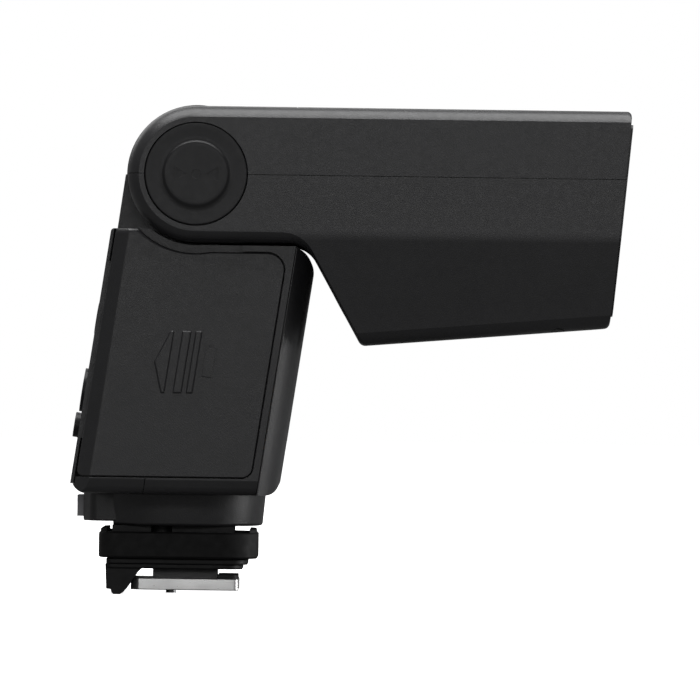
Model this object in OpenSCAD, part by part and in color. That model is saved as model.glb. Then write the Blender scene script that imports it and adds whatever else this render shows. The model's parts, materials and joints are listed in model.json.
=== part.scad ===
// Compact speedlight flash: tilting head on a leaning body, battery door on the side, accessory-shoe foot.
// Frame: +X is where the light goes, +Y is the flash's left, +Z is up.
// Origin: centre of the foot plate's underside.

/* [Head] */
// Half width of the head
head_w = 32.3; // [31.5:0.1:33]
// Height of the tilt axis above the foot's underside
tilt_z = 70.5; // [70.3:0.1:70.8]
// Radius of the rounded hinge end
hinge_r = 11.5; // [11.3:0.1:11.6]
// Wall thickness of the head shells
head_wall = 1.8; // [1.6:0.1:2]
// Radius of the push button on the hinge
push_r = 8.6; // [8:0.1:8.8]

/* [Body] */
// Half width of the body
body_w = 30.4; // [30.2:0.1:30.8]
// Forward lean of the body, in degrees
lean = 8.4; // [8.2:0.1:8.6]
// Height of the body's underside
body_z = 16.6; // [16.5:0.1:16.7]
// Diameter of one AA cell
cell_d = 14.5; // [14:0.1:14.5]

/* [Foot] */
// Width of the foot plate, which slides in the camera's shoe
foot_w = 18.6; // [18.4:0.05:18.6]
// Length of the foot plate
foot_l = 18.4; // [18:0.1:18.6]
// Thickness of the foot plate's rails
foot_t = 1.95; // [1.8:0.05:2]
// Width of the neck between the shoe's rails
neck_w = 12; // [11.6:0.1:12.4]

/* [Hidden] */
$fn = 48;

gap = 0.12;                 // seam between neighbouring shells
tilt_x = 1.4;               // tilt axis, as x
H = [tilt_x, tilt_z];       // tilt axis, as [x, z]
cl = cos(lean);
sl = sin(lean);

// Body lines, as distances p from the leaning centre line, positive to the front.
p_rear = -21.62;            // outside of the rear panel
p_panel = p_rear + 2;       // inside of the rear panel
p_door_rear = -20.75;       // rear edge of the battery door
p_crease = -18.5;           // crease where the door turns towards the rear
p_door_front = 8.35;        // front edge of the battery door
p_cover = 9.7;              // rear edge of the front cover
p_front = 13.02;            // outside of the front cover
cover_round = 11.3;         // radius of the front cover's upright edges
top_round = 4.1;            // radius of its top edge
foot_round = 2.2;           // radius of its bottom edge
rear_round = 2.7;           // radius of the body's rear bottom edge
skin = 1.8;                 // thickness of door and covers
door_in = body_w - skin;    // inner face of the door
block_w = door_in - 0.2;    // half width of the frame's main block
shoulder_z = 58.6;          // top of the body in front of the hinge
shelf_z = 61.25;            // top of the body behind the hinge
door_sill = 19.5;           // bottom edge of the door
door_top = 57.45;           // top edge of the door in front of the hinge
collar_z = 11;              // underside of the collar
cell_p = -4;                // centre of the battery bay
cell_q = [28.9, 44.9];      // heights of the two cells along the lean
cell_r = cell_d / 2;
bay_r = cell_r + 0.4;

tongue_w = 19;              // half width of the frame's tongue
tongue_r = 11.9;            // radius of the tongue around the tilt axis
slot_w = tongue_w + 0.4;    // half width of the head's slot
slot_r = tongue_r + 0.4;    // radius of the head's slot
cheek_in = slot_w + 1.6;    // inner face of a cheek's inner wall
shell_in = head_w - head_wall;

// x of the leaning line p at height z, and the leaning coordinates of a point [x, z].
function lx(p, z) = p / cl + z * sl / cl;
function lean_p(v) = v[0] * cl - v[1] * sl;
function lean_q(v) = v[0] * sl + v[1] * cl;

// Points of an arc of radius r about c, from angle a to angle b.
function arc(c, r, a, b, n = 16) = [for (i = [0:n]) let (t = a + (b - a) * i / n) c + r * [cos(t), sin(t)]];

// One corner at b between a and c, rounded to radius r.
function unit(v) = v / norm(v);
function corner(a, b, c, r, n = 7) =
    r == 0 ? [b] :
    let (u = unit(a - b), v = unit(c - b), half = acos(u * v) / 2)
    let (k = b + unit(u + v) * r / sin(half), s = b + u * r / tan(half), e = b + v * r / tan(half))
    let (s_a = atan2(s[1] - k[1], s[0] - k[0]), e_a = atan2(e[1] - k[1], e[0] - k[0]))
    arc(k, r, s_a, s_a + (e_a - s_a + 540) % 360 - 180, n);

// An outline from corners [x, y, radius].
function outline(c) = [
    for (i = [0:len(c) - 1])
    let (a = c[(i + len(c) - 1) % len(c)], b = c[i], d = c[(i + 1) % len(c)])
    each corner([a[0], a[1]], [b[0], b[1]], [d[0], d[1]], b[2])
];

// Extrudes an x-z outline between two y values, a y-z outline between two x values.
module side(y0, y1) translate([0, y1, 0]) rotate([90, 0, 0]) linear_extrude(y1 - y0) children();
module cross(x0, x1) translate([x0, 0, 0]) rotate([90, 0, 90]) linear_extrude(x1 - x0) children();
module ycyl(v, r, y0, y1) translate([v[0], y1, v[1]]) rotate([90, 0, 0]) cylinder(r = r, h = y1 - y0);
module leaning() rotate([0, lean, 0]) children();
module both_sides() { children(); mirror([0, 1, 0]) children(); }
module block(lo, hi) translate(lo) cube(hi - lo);

// A coil spring along +Z as one tube: wire radius w, coil radius r0 to r1, height h.
module coil(w, r0, r1, h, turns) {
    sides = 8;
    steps = round(turns * 16);
    rings = [
        for (i = [0:steps])
        let (f = i / steps, a = 360 * turns * f, r = r0 + (r1 - r0) * f)
        [for (k = [0:sides - 1]) let (b = 360 * k / sides)
            [(r + w * cos(b)) * cos(a), (r + w * cos(b)) * sin(a), w + (h - 2 * w) * f + w * sin(b)]]
    ];
    walls = [
        for (i = [0:steps - 1]) for (k = [0:sides - 1])
        let (n = (k + 1) % sides, a = i * sides, b = a + sides)
        each [[a + k, a + n, b + k], [a + n, b + n, b + k]]
    ];
    first = [for (k = [0:sides - 1]) sides - 1 - k];
    last = [for (k = [0:sides - 1]) steps * sides + k];
    polyhedron(points = [for (r = rings) each r], faces = concat([first], walls, [last]), convexity = 8);
}

// ---------- body outlines ----------

// Side outline of the body between two leaning lines, notched by an arc of radius r about the tilt axis.
module body_outline(p0, p1, z0, z_top, z_shelf, r, round_front = 0, round_foot = 0, round_rear = 0) {
    a0 = -asin((H[1] - z_top) / r);
    a1 = -180 + asin((H[1] - z_shelf) / r);
    ends = outline([
        [lx(p0, z0), z0, round_rear],
        [lx(p1, z0), z0, round_foot],
        [lx(p1, z_top), z_top, round_front],
        [H[0] + r * cos(a0), z_top, 0],
        [H[0] + r * cos(a1), z_shelf, 0],
        [lx(p0, z_shelf), z_shelf, 0.6]
    ]);
    difference() {
        polygon(ends);
        translate(H) circle(r = r, $fn = 96);
    }
}

// Plan section of the whole body across its lean: chamfered rear edges, rounded front edges.
// The middle of the front stands out, so that the side outline alone sets the front face.
module body_plan() {
    half = concat(
        [[p_rear, 0], [p_rear, door_in - 1.2], [p_door_rear - 0.05, door_in + 0.1],
         [p_crease - 0.25, body_w - 0.3], [p_crease, body_w], [p_cover - 0.1, body_w]],
        arc([p_front - cover_round, body_w - 8.2], cover_round, 45, 0, 12),
        [[p_front + 1, body_w - 8.4]]
    );
    n = len(half);
    polygon(concat(half, [for (i = [1:n]) [half[n - i][0], -half[n - i][1]]]));
}
module body_skin() leaning() linear_extrude(200, center = true) body_plan();

// ---------- frame ----------

// Room for the two cells: a bore round each, and a slot between them that is narrower by the waist.
waist = 1.1;
module bay_space(y0, y1, r) {
    leaning() {
        for (q = cell_q) ycyl([cell_p, q], r, y0, y1);
        block([cell_p - r + waist, y0, cell_q[0]], [cell_p + r - waist, y1, cell_q[1]]);
    }
}

// The bracket that stands up between the head's cheeks and carries the tilt shaft.
module bracket_solid(grow = 0) {
    ycyl(H, tongue_r + grow, -tongue_w - grow, tongue_w + grow);
    side(-tongue_w - grow, tongue_w + grow) offset(delta = grow) polygon([
        [lx(lean_p(H) - tongue_r, lean_q(H)), H[1]],
        [lx(lean_p(H) - tongue_r, shelf_z + 0.15), shelf_z + 0.15],
        [lx(p_panel + 0.3, shelf_z + 0.15), shelf_z + 0.15],
        [lx(p_panel + 0.3, 56), 56],
        [5.2, 56],
        [5.2, H[1]]
    ]);
}
module cable_duct() {
    translate([H[0] + 4.6, 9, 50]) cylinder(r = 2.2, h = 24);
    translate([H[0] + 4.6, 9, 73]) rotate([0, 90, 0]) cylinder(r = 1.6, h = 20);
}
module hinge_bracket() color("#1c1c1e") difference() {
    bracket_solid();
    cable_duct();
    ycyl(H, 2.93, -40, 40);
    leaning() block([p_panel - 1, -26.5, 22], [-12.9, 26.5, 55.6]);
}

module frame_outline(z_shelf = shelf_z)
    body_outline(p_panel + 0.12, p_cover - gap, body_z, shoulder_z, z_shelf, tongue_r + 0.05);

module main_frame() color("#1c1c1e") difference() {
    intersection() {
        side(-block_w, block_w) frame_outline();
        body_skin();
    }
    bracket_solid(0.01);
    cable_duct();
    // room for the sole, the cells, the boards and the lock
    block([-40, -40, body_z - 1], [sole_x, 40, body_z + 1.75]);
    bay_space(-40, 27.2, bay_r);
    leaning() {
        block([p_panel - 1, -26.5, 22], [-12.9, 26.5, 55.6]);
        block([5, -26, 22], [p_cover + 1, 26, 52]);
    }
    block([-14.4, -5.2, body_z - 1], [2.6, 5.2, body_z + 2.9]);
    // relief for the door's hinge edge, and a track for its slider
    leaning() ycyl_q(hinge_p, hinge_y, relief_r);
    slider_track();
    corner_round(p_front, shoulder_z, top_round, 1, 1);
    for (v = side_screws) translate([v[0], 0, v[1]]) rotate([-90, 0, 0]) cylinder(r = 0.9, h = 40);
    for (v = collar_screws) translate([v[0], v[1], body_z - 1]) cylinder(r = 0.9, h = 6);
}

// Strips on the frame that border the door and the left cover: below them, in front and above.
module side_rims() color("#1c1c1e") difference() {
    both_sides() intersection() {
        side(block_w + 0.01, body_w) difference() {
            frame_outline(shelf_z - 0.2);
            offset(delta = 0.15) door_outline();
            // only the front and the foot carry a strip
            polygon([
                [-40, 90], [-40, door_sill - 0.15],
                [lx(p_door_front, door_sill), door_sill - 0.15],
                [lx(p_door_front, door_top - 3), door_top - 3],
                [H[0] + 8, door_top - 3], [H[0] + 8, 90]
            ]);
            polygon([[-40, 0], [sole_x - 0.15, 0], [sole_x + 0.43, door_sill], [-40, door_sill]]);
        }
        body_skin();
        block([-30, -40, 0], [40, 40, 60]);
    }
    corner_round(p_front, shoulder_z, top_round, 1, 1);
    corner_round(p_front, body_z, foot_round, -1, 1);
}
sole_x = -6.8;              // where the rear panel's sole meets the frame

// Places where small screws go in: [x, z] on the left cover, [x, y] under the collar.
side_screws = [[-9, 22.5], [8.6, 22.5], [13.3, 53.5]];
collar_screws = [[8, 8], [8, -8], [-4, 10.6], [-4, -10.6]];

module door_outline()
    body_outline(p_door_rear, p_door_front, door_sill, door_top, shelf_z - 0.05, tongue_r + 1.4, 3, 2, 1);

// What is cut away to round a corner of the body's side outline to radius r, on the leaning line p
// at height z. up is 1 for a top corner and -1 for a bottom one; out is 1 at the front and -1 at the rear.
module corner_round(p, z, r, up, out) {
    c = [lx(p - out * r, z - up * r), z - up * r];
    side(-40, 40) difference() {
        polygon([c, c + [0, 3 * up * r], c + [3 * out * r, 3 * up * r], c + 3 * out * r * [cl, -sl]]);
        translate(c) circle(r = r, $fn = 96);
    }
}
module front_cover() color("#242426") difference() {
    intersection() {
        side(-body_w - 1, body_w + 1) polygon([
            [lx(p_cover, shoulder_z), shoulder_z], [lx(p_cover, body_z), body_z],
            [lx(p_front, body_z), body_z], [lx(p_front, shoulder_z), shoulder_z]
        ]);
        body_skin();
    }
    leaning() block([p_cover - 2, -26, 21], [p_front - skin, 26, 53]);
    corner_round(p_front, shoulder_z, top_round, 1, 1);
    corner_round(p_front, body_z, foot_round, -1, 1);
}

module left_cover() color("#2b2b2d") difference() {
    intersection() {
        side(door_in, body_w) door_outline();
        body_skin();
    }
    for (v = side_screws) {
        translate([v[0], 0, v[1]]) rotate([-90, 0, 0]) cylinder(r = 1.05, h = 40);
        translate([v[0], body_w - 0.9, v[1]]) rotate([-90, 0, 0]) cylinder(r = 1.9, h = 5);
    }
}

module body_screws() color("#3a3a3c") {
    for (v = side_screws) difference() {
        union() {
            translate([v[0], door_in - 4, v[1]]) rotate([-90, 0, 0]) cylinder(r = 0.85, h = 5);
            translate([v[0], body_w - 0.8, v[1]]) rotate([-90, 0, 0]) cylinder(r = 1.75, h = 0.7);
        }
        translate([v[0], body_w, v[1]]) cross_recess(-90);
    }
    for (v = collar_screws) translate([v[0], v[1], collar_z + 1.9]) {
        cylinder(r = 0.85, h = 6.5);
        cylinder(r = 1.5, h = 0.8);
    }
}
module cross_recess(turn)
    rotate([turn, 0, 0]) for (a = [0, 90]) rotate([0, 0, a]) cube([1.7, 0.42, 1], center = true);

// ---------- rear controls ----------

// Controls on the rear panel: [y, q, half width, half height]; their faces are ovals.
plus_at = [-9, 43.3, 4.6, 2.6];
minus_at = [9, 43.3, 4.6, 2.6];
test_at = [-13, 31, 3.7, 3.7];
pairing_at = [13, 31, 2.5, 2.5];
power_at = [0, 24.8, 4, 2.1];
window_at = [0, 52.2, 13, 2.2];
power_throw = 3;

// An oval rod along p from p0 to p1, given [y, q, half width, half height] and a margin.
module oval(at, p0, p1, grow = 0) translate([p0, at[0], at[1]]) rotate([0, 90, 0]) linear_extrude(p1 - p0) {
    r = min(at[2], at[3]) + grow;
    reach = at[2] - min(at[2], at[3]);
    for (s = [-1, 1]) translate([0, s * reach]) circle(r = r);
    if (reach > 0) square([2 * r, 2 * reach], center = true);
}

sole_top = 18.2;            // top of the sole, and underside of the rear panel
panel_z = sole_top + 0.05;
module rear_panel() color("#202022") difference() {
    intersection() {
        side(-door_in + 0.05, door_in - 0.05) polygon(outline([
            [lx(p_rear, panel_z), panel_z, 0], [lx(p_panel, panel_z), panel_z, 0],
            [lx(p_panel, shelf_z), shelf_z, 0], [lx(p_rear, shelf_z), shelf_z, 0.6]
        ]));
        body_skin();
    }
    ycyl(H, 12.6, -40, 40);
    leaning() {
        for (at = [plus_at, minus_at, test_at, pairing_at]) oval(at, p_rear - 2, p_panel + 1, 0.14);
        oval(window_at, p_rear - 2, p_panel + 1, 0.05);
        // recess and slot of the power switch
        oval([0, power_at[1], 9.4, 3], p_rear - 2, p_rear + 0.5);
        oval([0, power_at[1], 6.4, 1.3], p_rear - 2, p_panel + 1);
    }
    slider_track();
    // room for the door's rear edge as it swings, and the hinge barrel's way out as the door slides
    leaning() {
        ycyl_q(hinge_p, hinge_y, relief_r);
        block([p_rear - 1, -40, 0], [hinge_p, hinge_y + knuckle_r + 0.15, 90]);
    }
}

// The sole under the rear of the body, with lips that show below the door and the left cover.
module base_sole() color("#202022") difference() {
    intersection() {
        side(-body_w - 1, body_w + 1) polygon([
            [lx(p_rear, body_z), body_z], [sole_x - gap, body_z],
            [sole_x - gap + 0.41, door_sill - 0.15], [lx(p_rear, door_sill - 0.15), door_sill - 0.15]
        ]);
        body_skin();
    }
    // room for the rear panel above it and for the frame in front of it
    block([-40, -door_in, sole_top], [40, door_in, door_sill + 1]);
    block([sole_x - gap, -block_w - 0.05, body_z - 1], [40, block_w + 0.05, door_sill + 1]);
    corner_round(p_rear, body_z, rear_round, -1, -1);
    block([-14.4, -5.2, body_z - 1], [2.6, 5.2, door_sill]);
    for (v = collar_screws) translate([v[0], v[1], body_z - 2]) cylinder(r = 1.1, h = 6);
}

module button_cap(at, proud) color("#2a2a2c") leaning() {
    oval(at, p_rear - proud, p_panel + 0.12);
    oval(at, p_panel + 0.1, p_panel + 0.8, 0.7);
}
module plus_button() difference() {
    button_cap(plus_at, 0.5);
    bar_mark(plus_at, 1.5, 0.2);
    bar_mark(plus_at, 0.2, 1.5);
}
module minus_button() difference() {
    button_cap(minus_at, 0.5);
    bar_mark(minus_at, 1.5, 0.2);
}
// A bar sunk into a button's face, reaching ry each way along y and rq each way up the panel.
module bar_mark(at, ry, rq)
    leaning() block([p_rear - 1, at[0] - ry, at[1] - rq], [p_rear - 0.35, at[0] + ry, at[1] + rq]);
module test_button() difference() {
    button_cap(test_at, 0.85);
    // shallow dish for the finger
    leaning() translate([p_rear - 8.55, test_at[0], test_at[1]]) sphere(r = 8, $fn = 96);
}
module pairing_button() button_cap(pairing_at, 0.3);

module power_switch() color("#2a2a2c") leaning() {
    difference() {
        oval(power_at, p_rear - 1.6, p_rear + 0.4);
        for (y = [-2.2:1.1:2.2]) block([p_rear - 2, y - 0.2, 20], [p_rear - 1.35, y + 0.2, 30]);
    }
    oval([0, power_at[1], 2, 1.1], p_rear + 0.3, p_panel + 0.3);
    oval([0, power_at[1], 4.2, 2.2], p_panel + 0.15, p_panel + 1);
}

module indicator_window() color([0.12, 0.05, 0.05, 0.8]) leaning() {
    oval(window_at, p_rear + 0.15, p_panel);
    oval(window_at, p_panel + 0.05, p_panel + 0.6, 0.8);
}
module indicator_leds() color("#d8d8c8") leaning() for (y = [-8, 0, 8])
    block([p_panel + 1.6, y - 0.8, window_at[1] - 0.5], [p_panel + 3.35, y + 0.8, window_at[1] + 0.5]);

module keypad_membrane() color("#5c5c60") leaning() difference() {
    block([p_panel + 1.5, -20, 27.6], [p_panel + 2.1, 20, 47.6]);
    for (y = [-17.5, 17.5]) translate([0, y, 37]) rotate([0, 90, 0]) cylinder(r = 1.1, h = 60, center = true);
}
module control_board() color("#1f5a34") leaning()
    block([p_panel + 3.4, -25.5, 23], [p_panel + 4.6, 25.5, 54]);
module tact_switches() color("#b8b8bc") leaning() {
    for (at = [plus_at, minus_at, test_at, pairing_at]) {
        block([p_panel + 2.5, at[0] - 2, at[1] - 2], [p_panel + 3.35, at[0] + 2, at[1] + 2]);
        translate([p_panel + 2.2, at[0], at[1]]) rotate([0, 90, 0]) cylinder(r = 0.9, h = 0.35);
    }
}

// ---------- power section ----------

module power_board() color("#1f5a34") leaning() block([5.15, -25.5, 24.6], [6.15, 25.5, 51.5]);
module power_transformer() color("#7a5a20") leaning() {
    difference() {
        block([6.2, -19, 26], [10.6, -8, 37]);
        block([8.2, -20, 28.5], [11, -7, 34.5]);
    }
    block([8.3, -17.5, 28.7], [10.5, -9.5, 34.3]);
}
module board_components() color("#18181a") leaning() {
    block([6.2, -2, 26], [8, 6, 34]);
    block([6.2, 11, 38], [9.6, 17, 48]);
    block([6.2, -16, 41], [8.4, -8, 48]);
    for (k = [0:4]) block([6.2, 9 + k * 2.6, 26], [7, 10.4 + k * 2.6, 27]);
    translate([6.2, 0, 42]) rotate([0, 90, 0]) cylinder(r = 3, h = 4.2);
}

module aa_cells() color("#c8c8cc") leaning() {
    for (k = [0, 1]) mirror([0, k, 0]) translate([0, k == 0 ? 0 : 1.3, 0]) {
        ycyl([cell_p, cell_q[k]], cell_r, -24.9, 24.6);
        ycyl([cell_p, cell_q[k]], 2.75, -25.9, -24.85);
    }
}
module bay_contacts() color("#c9b27a") leaning() {
    block([cell_p - 4, 26.6, cell_q[0] - 4], [cell_p + 4, 27.1, cell_q[1] + 4]);
    ycyl([cell_p, cell_q[1]], 2.6, 24.75, 26.7);
}
module bay_spring() color("#c9b27a") leaning() translate([cell_p, 26.5, cell_q[0]]) rotate([90, 0, 0])
    coil(0.3, 3.6, 2, 1.8, 2);
module bay_seal() color("#101011") difference() {
    bay_space(-door_in + 0.05, -block_w - 0.01, bay_r + 0.7);
    bay_space(-40, 0, bay_r + 0.3);
}

// ---------- battery door ----------

hinge_p = -19.6;            // axis of the door's hinge pin
hinge_y = -door_in;
knuckle_r = 0.65;
relief_r = 1.7;             // room for the door's rear edge as it swings
slider_q = [24, 53];        // ends of the slider
slider_leaf = 3.2;          // height of each slider knuckle

module ycyl_q(p, y, r, q0 = 0, q1 = 90) translate([p, y, q0]) cylinder(r = r, h = q1 - q0);

module slider_track() leaning() block([-27, -28.75, slider_q[0] - 0.9], [-12.45, -27.35, slider_q[1] + 0.3]);

module door_slider() color("#8d8d92") leaning() difference() {
    union() {
        block([hinge_p + 0.2, -28.45, slider_q[0]], [-12.6, -27.6, slider_q[1]]);
        for (q = [slider_q[0], slider_q[1] - slider_leaf]) {
            ycyl_q(hinge_p, hinge_y, knuckle_r, q, q + slider_leaf);
            block([hinge_p, -28.45, q], [hinge_p + 1.4, -28, q + slider_leaf]);
        }
    }
    block([hinge_p - 3, -40, slider_q[0] + slider_leaf], [hinge_p + 2.3, 0, slider_q[1] - slider_leaf]);
    ycyl_q(hinge_p, hinge_y, 0.32);
    block([-16.4, -40, slider_q[0] + 6], [-14, 0, slider_q[1] - 6]);
}
module door_hinge_pin() color("#a8a8ac") leaning()
    ycyl_q(hinge_p, hinge_y, 0.3, slider_q[0] + 0.1, slider_q[1] - 0.1);

module arrow_mark() {
    z0 = 33.7;
    z1 = 44.05;
    mid = (z0 + z1) / 2;
    polygon([
        [lx(-10.78, mid), mid], [lx(-8.9, z1), z1], [lx(-8.4, z1), z1],
        [lx(-8.4, z0), z0], [lx(-8.9, z0), z0]
    ]);
    for (w = [[-6.9, -5.55], [-4.7, -3.72]])
        polygon([[lx(w[0], z0), z0], [lx(w[1], z0), z0], [lx(w[1], z1), z1], [lx(w[0], z1), z1]]);
}
// A cell seen from the side: a frame with a nub, 5.8 long and 1.9 wide.
module cell_mark() translate([lx(-1.75, 38.8), 38.8]) rotate(-lean) {
    difference() {
        square([1.9, 5], center = true);
        square([1.4, 4.5], center = true);
    }
    translate([-0.4, 2.5]) square([0.8, 0.5]);
}

module battery_door() color("#2b2b2d") difference() {
    union() {
        intersection() {
            side(-body_w, -door_in) door_outline();
            body_skin();
        }
        side(-body_w - 0.25, -body_w + 0.1) arrow_mark();
        // hinge barrel between the slider's knuckles
        leaning()
            ycyl_q(hinge_p, hinge_y, knuckle_r, slider_q[0] + slider_leaf + 0.1, slider_q[1] - slider_leaf - 0.1);
    }
    side(-body_w - 1, -body_w + 0.15) cell_mark();
    leaning() {
        ycyl_q(hinge_p, hinge_y, 0.35);
        for (q = [slider_q[0], slider_q[1] - slider_leaf])
            ycyl_q(hinge_p, hinge_y, knuckle_r + 0.08, q - 0.1, q + slider_leaf + 0.1);
    }
}
module door_contacts() color("#c9b27a") leaning() {
    block([cell_p - 2.8, -door_in + 0.05, cell_q[0] - 3.5], [cell_p + 2.8, -door_in + 0.5, cell_q[1] + 3.5]);
    ycyl([cell_p, cell_q[0]], 2.6, -door_in + 0.4, -26.05);
}
module door_spring() color("#c9b27a") leaning()
    translate([cell_p, -door_in + 0.55, cell_q[1]]) rotate([-90, 0, 0]) coil(0.3, 3.6, 2, 1.9, 2);

// ---------- foot ----------

module base_collar() color("#242426") difference() {
    union() {
        intersection() {
            translate([-1.4, 0, collar_z]) cylinder(r1 = 14.5, r2 = 15, h = body_z - gap - collar_z);
            block([-12.3, -20, 0], [20, 20, 20]);
        }
        translate([0, 0, collar_z + 0.6]) linear_extrude(body_z - gap - collar_z - 0.6) polygon(outline([
            [-12, 10.3, 0], [-16, 9.2, 2], [-17.5, 5.6, 1.2],
            [-17.5, -5.6, 1.2], [-16, -9.2, 2], [-12, -10.3, 0]
        ]));
    }
    // chamber for the lock, the opening for its button and the shaft of its pin
    block([-13.6, -5, collar_z + 1.1], [3, 5, 20]);
    block([-20, -4.7, 12.1], [-12.2, 4.7, 16.1]);
    translate([lock_x, 0, 0]) cylinder(r = 1.28, h = 20);
    for (v = collar_screws) {
        translate([v[0], v[1], 0]) cylinder(r = 1.0, h = 20);
        translate([v[0], v[1], 0]) cylinder(r = 1.7, h = collar_z + 2.75);
    }
}
lock_x = -2.5;              // centre of the lock pin

module foot_base() color("#161617") difference() {
    union() {
        block([-12.4, -10.5, 5.3], [8.3, 10.5, collar_z - 0.05]);
        slab(4.4, 5.35, [-13.5, 10.7], 10.6, 1, 4);
        slab(3.6, 4.45, [-13.5, 9.85], 9.9, 1, 4);
        // fin that closes the open rear end of the camera's shoe
        side(-9.3, 9.3) polygon(concat(
            [[-13.5, 4.5], [-13.3, 0.1], [-11.85, 0.1], [-11.85, -0.85]],
            outline([[-11.8, -0.85, 0], [-10.0, -0.85, 1.2], [-7.5, 3.6, 1.5], [-5, 4.5, 0]])));
    }
    translate([lock_x, 0, 0]) cylinder(r = 1.28, h = 30);
    for (x = foot_screw_x, y = [-3.6, 3.6]) translate([x, y, 0]) cylinder(r = 0.9, h = 9);
    translate([0, 0, -2]) linear_extrude(4.6) offset(delta = 0.3) foot_plan();
    for (v = collar_screws) translate([v[0], v[1], 9]) cylinder(r = 1.8, h = 3);
}
// A flat slab from z0 to z1 and from x[0] to x[1], w wide each way, its rear and front corners rounded.
module slab(z0, z1, x, w, r_rear, r_front) translate([0, 0, z0]) linear_extrude(z1 - z0)
    polygon(outline([[x[0], -w, r_rear], [x[1], -w, r_front], [x[1], w, r_front], [x[0], w, r_rear]]));
foot_screw_x = [-4.1, 3.2];

module shoe_skirt() color("#131314") difference() {
    union() {
        slab(5.45, 9.9, [-14.7, 12.4], 12.9, 3, 5.5);
        // raised lips front and rear
        intersection() {
            slab(9.8, 10.5, [-14.4, 12.1], 12.6, 3, 5.5);
            union() {
                block([-15, -20, 9], [-13.2, 20, 11]);
                block([11, -20, 9], [13, 20, 11]);
            }
        }
    }
    block([-12.5, -10.6, 0], [8.4, 10.6, 20]);
}

// Plan of the foot plate: chamfered rear corners, and a front end a little narrower than the rails.
module foot_plan() {
    half = [
        [-foot_l / 2, foot_w / 2 - 1.4, 0], [-foot_l / 2 + 1.4, foot_w / 2, 0], [4.4, foot_w / 2, 0],
        [4.9, foot_w / 2 - 0.25, 0], [foot_l / 2, foot_w / 2 - 0.25, 1.2]
    ];
    n = len(half);
    polygon(outline(concat(half, [for (i = [1:n]) let (v = half[n - i]) [v[0], -v[1], v[2]]])));
}
module foot_plate() color("#c4c4c8") difference() {
    union() {
        linear_extrude(foot_t) foot_plan();
        block([-5.5, -neck_w / 2, foot_t - 0.1], [5.5, neck_w / 2, 3.55]);
    }
    translate([lock_x, 0, -1]) cylinder(r = 0.93, h = 6);
    for (x = foot_screw_x, y = [-3.6, 3.6]) {
        translate([x, y, -1]) cylinder(r = 1.05, h = 6);
        translate([x, y, -0.01]) cylinder(r1 = 2, r2 = 1.05, h = 0.96);
    }
    // pocket under the front edge for the contacts
    block([6.2, -7.2, -1], [foot_l / 2 + 1, 7.2, foot_t - 0.5]);
}
module foot_screws() color("#9a9aa0") for (x = foot_screw_x, y = [-3.6, 3.6]) difference() {
    union() {
        translate([x, y, 0.08]) cylinder(r1 = 1.88, r2 = 0.85, h = 1.03);
        translate([x, y, 0.5]) cylinder(r = 0.85, h = 8);
    }
    translate([x, y, 0]) cross_recess(0);
}

module contact_block() color("#1b1b1d") difference() {
    union() {
        block([6.3, -7.1, 0.35], [8.85, 7.1, foot_t - 0.55]);
        translate([0, 0, foot_t + 0.03]) linear_extrude(0.65) polygon(outline([
            [5.65, -7.8, 0], [9.05, -7.8, 1.4], [9.05, 7.8, 1.4], [5.65, 7.8, 0]
        ]));
    }
    for (k = [-5:5]) block([6, k * 1.2 - 0.35, 0], [9.5, k * 1.2 + 0.35, 0.7]);
}
module contact_pins() color("#d9b65a") for (k = [-5:5])
    block([6.5, k * 1.2 - 0.28, 0.3], [8.7, k * 1.2 + 0.28, 0.65]);

// The button's fork is a ramp: pushed in, it lifts the pin by its tilted collar.
module lock_button() color("#6e6e73") difference() {
    union() {
        block([-18.6, -4.5, 12.3], [-14, 4.5, 15.9]);
        block([-14.1, -4.2, 12.8], [-9, 4.2, 15.3]);
        both_sides() side(1.7, 3.6) polygon([[-9.1, 12.8], [-3.4, 12.8], [-3.4, 13], [-5.9, 15], [-9.1, 15]]);
    }
    for (z = [12.9, 13.8, 14.7]) block([-19, -3.6, z - 0.18], [-18.3, 3.6, z + 0.18]);
}
module lock_pin() color("#b9b9bd") {
    translate([lock_x, 0, -0.7]) cylinder(r = 0.85, h = 13);
    translate([lock_x, 0, 5]) cylinder(r = 1.2, h = 8);
    intersection() {
        side(-4, 4) polygon([[-4.4, 13.95], [-2.3, 12.27], [-0.9, 12.27], [-0.9, 15.2], [-4.4, 15.2]]);
        translate([lock_x, 0, 0]) cylinder(r = 4, h = 40);
    }
    translate([lock_x, 0, 15]) cylinder(r = 1.1, h = 2.4);
}
module lock_spring() color("#b0b0b4") translate([lock_x, 0, 15.3]) coil(0.22, 1.75, 1.75, 4.1, 4);

// ---------- head ----------

head_base = 59;             // underside of the hinge part
head_top = 82;
chin = [29.56, 41.9];       // rear corner of the head's underside
lip = [71.2, 45.5];         // front corner of the head's underside
brow = [74.6, head_top];    // front corner of the head's top
edge_r = 2;                 // rounding of the head's long edges
front_lean = atan((brow[0] - lip[0]) / (brow[1] - lip[1]));
heel = [chin[0] + (chin[1] - head_base) * 0.558, head_base];

// Side outline of the head in front of the tilt axis, drawn in by d.
module head_side(d = 0) offset(delta = -d) polygon(outline([
    [tilt_x - 0.1, head_base, 0], [heel[0], heel[1], 4.85], [chin[0], chin[1], 1.3],
    [lip[0], lip[1], 1], [brow[0], brow[1], 0.8], [tilt_x - 0.1, head_top, 0]
]));

// Cross-section of the head's front part: upright cheeks above, tapering below.
module head_cross(d = 0) offset(delta = -d) polygon(outline([
    [-head_w, head_top, edge_r], [-head_w, 60.6, 2], [-head_w + 3.2, 41.7, 2.8],
    [head_w - 3.2, 41.7, 2.8], [head_w, 60.6, 2], [head_w, head_top, edge_r]
]));
module hinge_cross(d = 0) offset(delta = -d) polygon(outline([
    [-head_w, head_top, edge_r], [-head_w, head_base, edge_r],
    [head_w, head_base, edge_r], [head_w, head_top, edge_r]
]));

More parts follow.
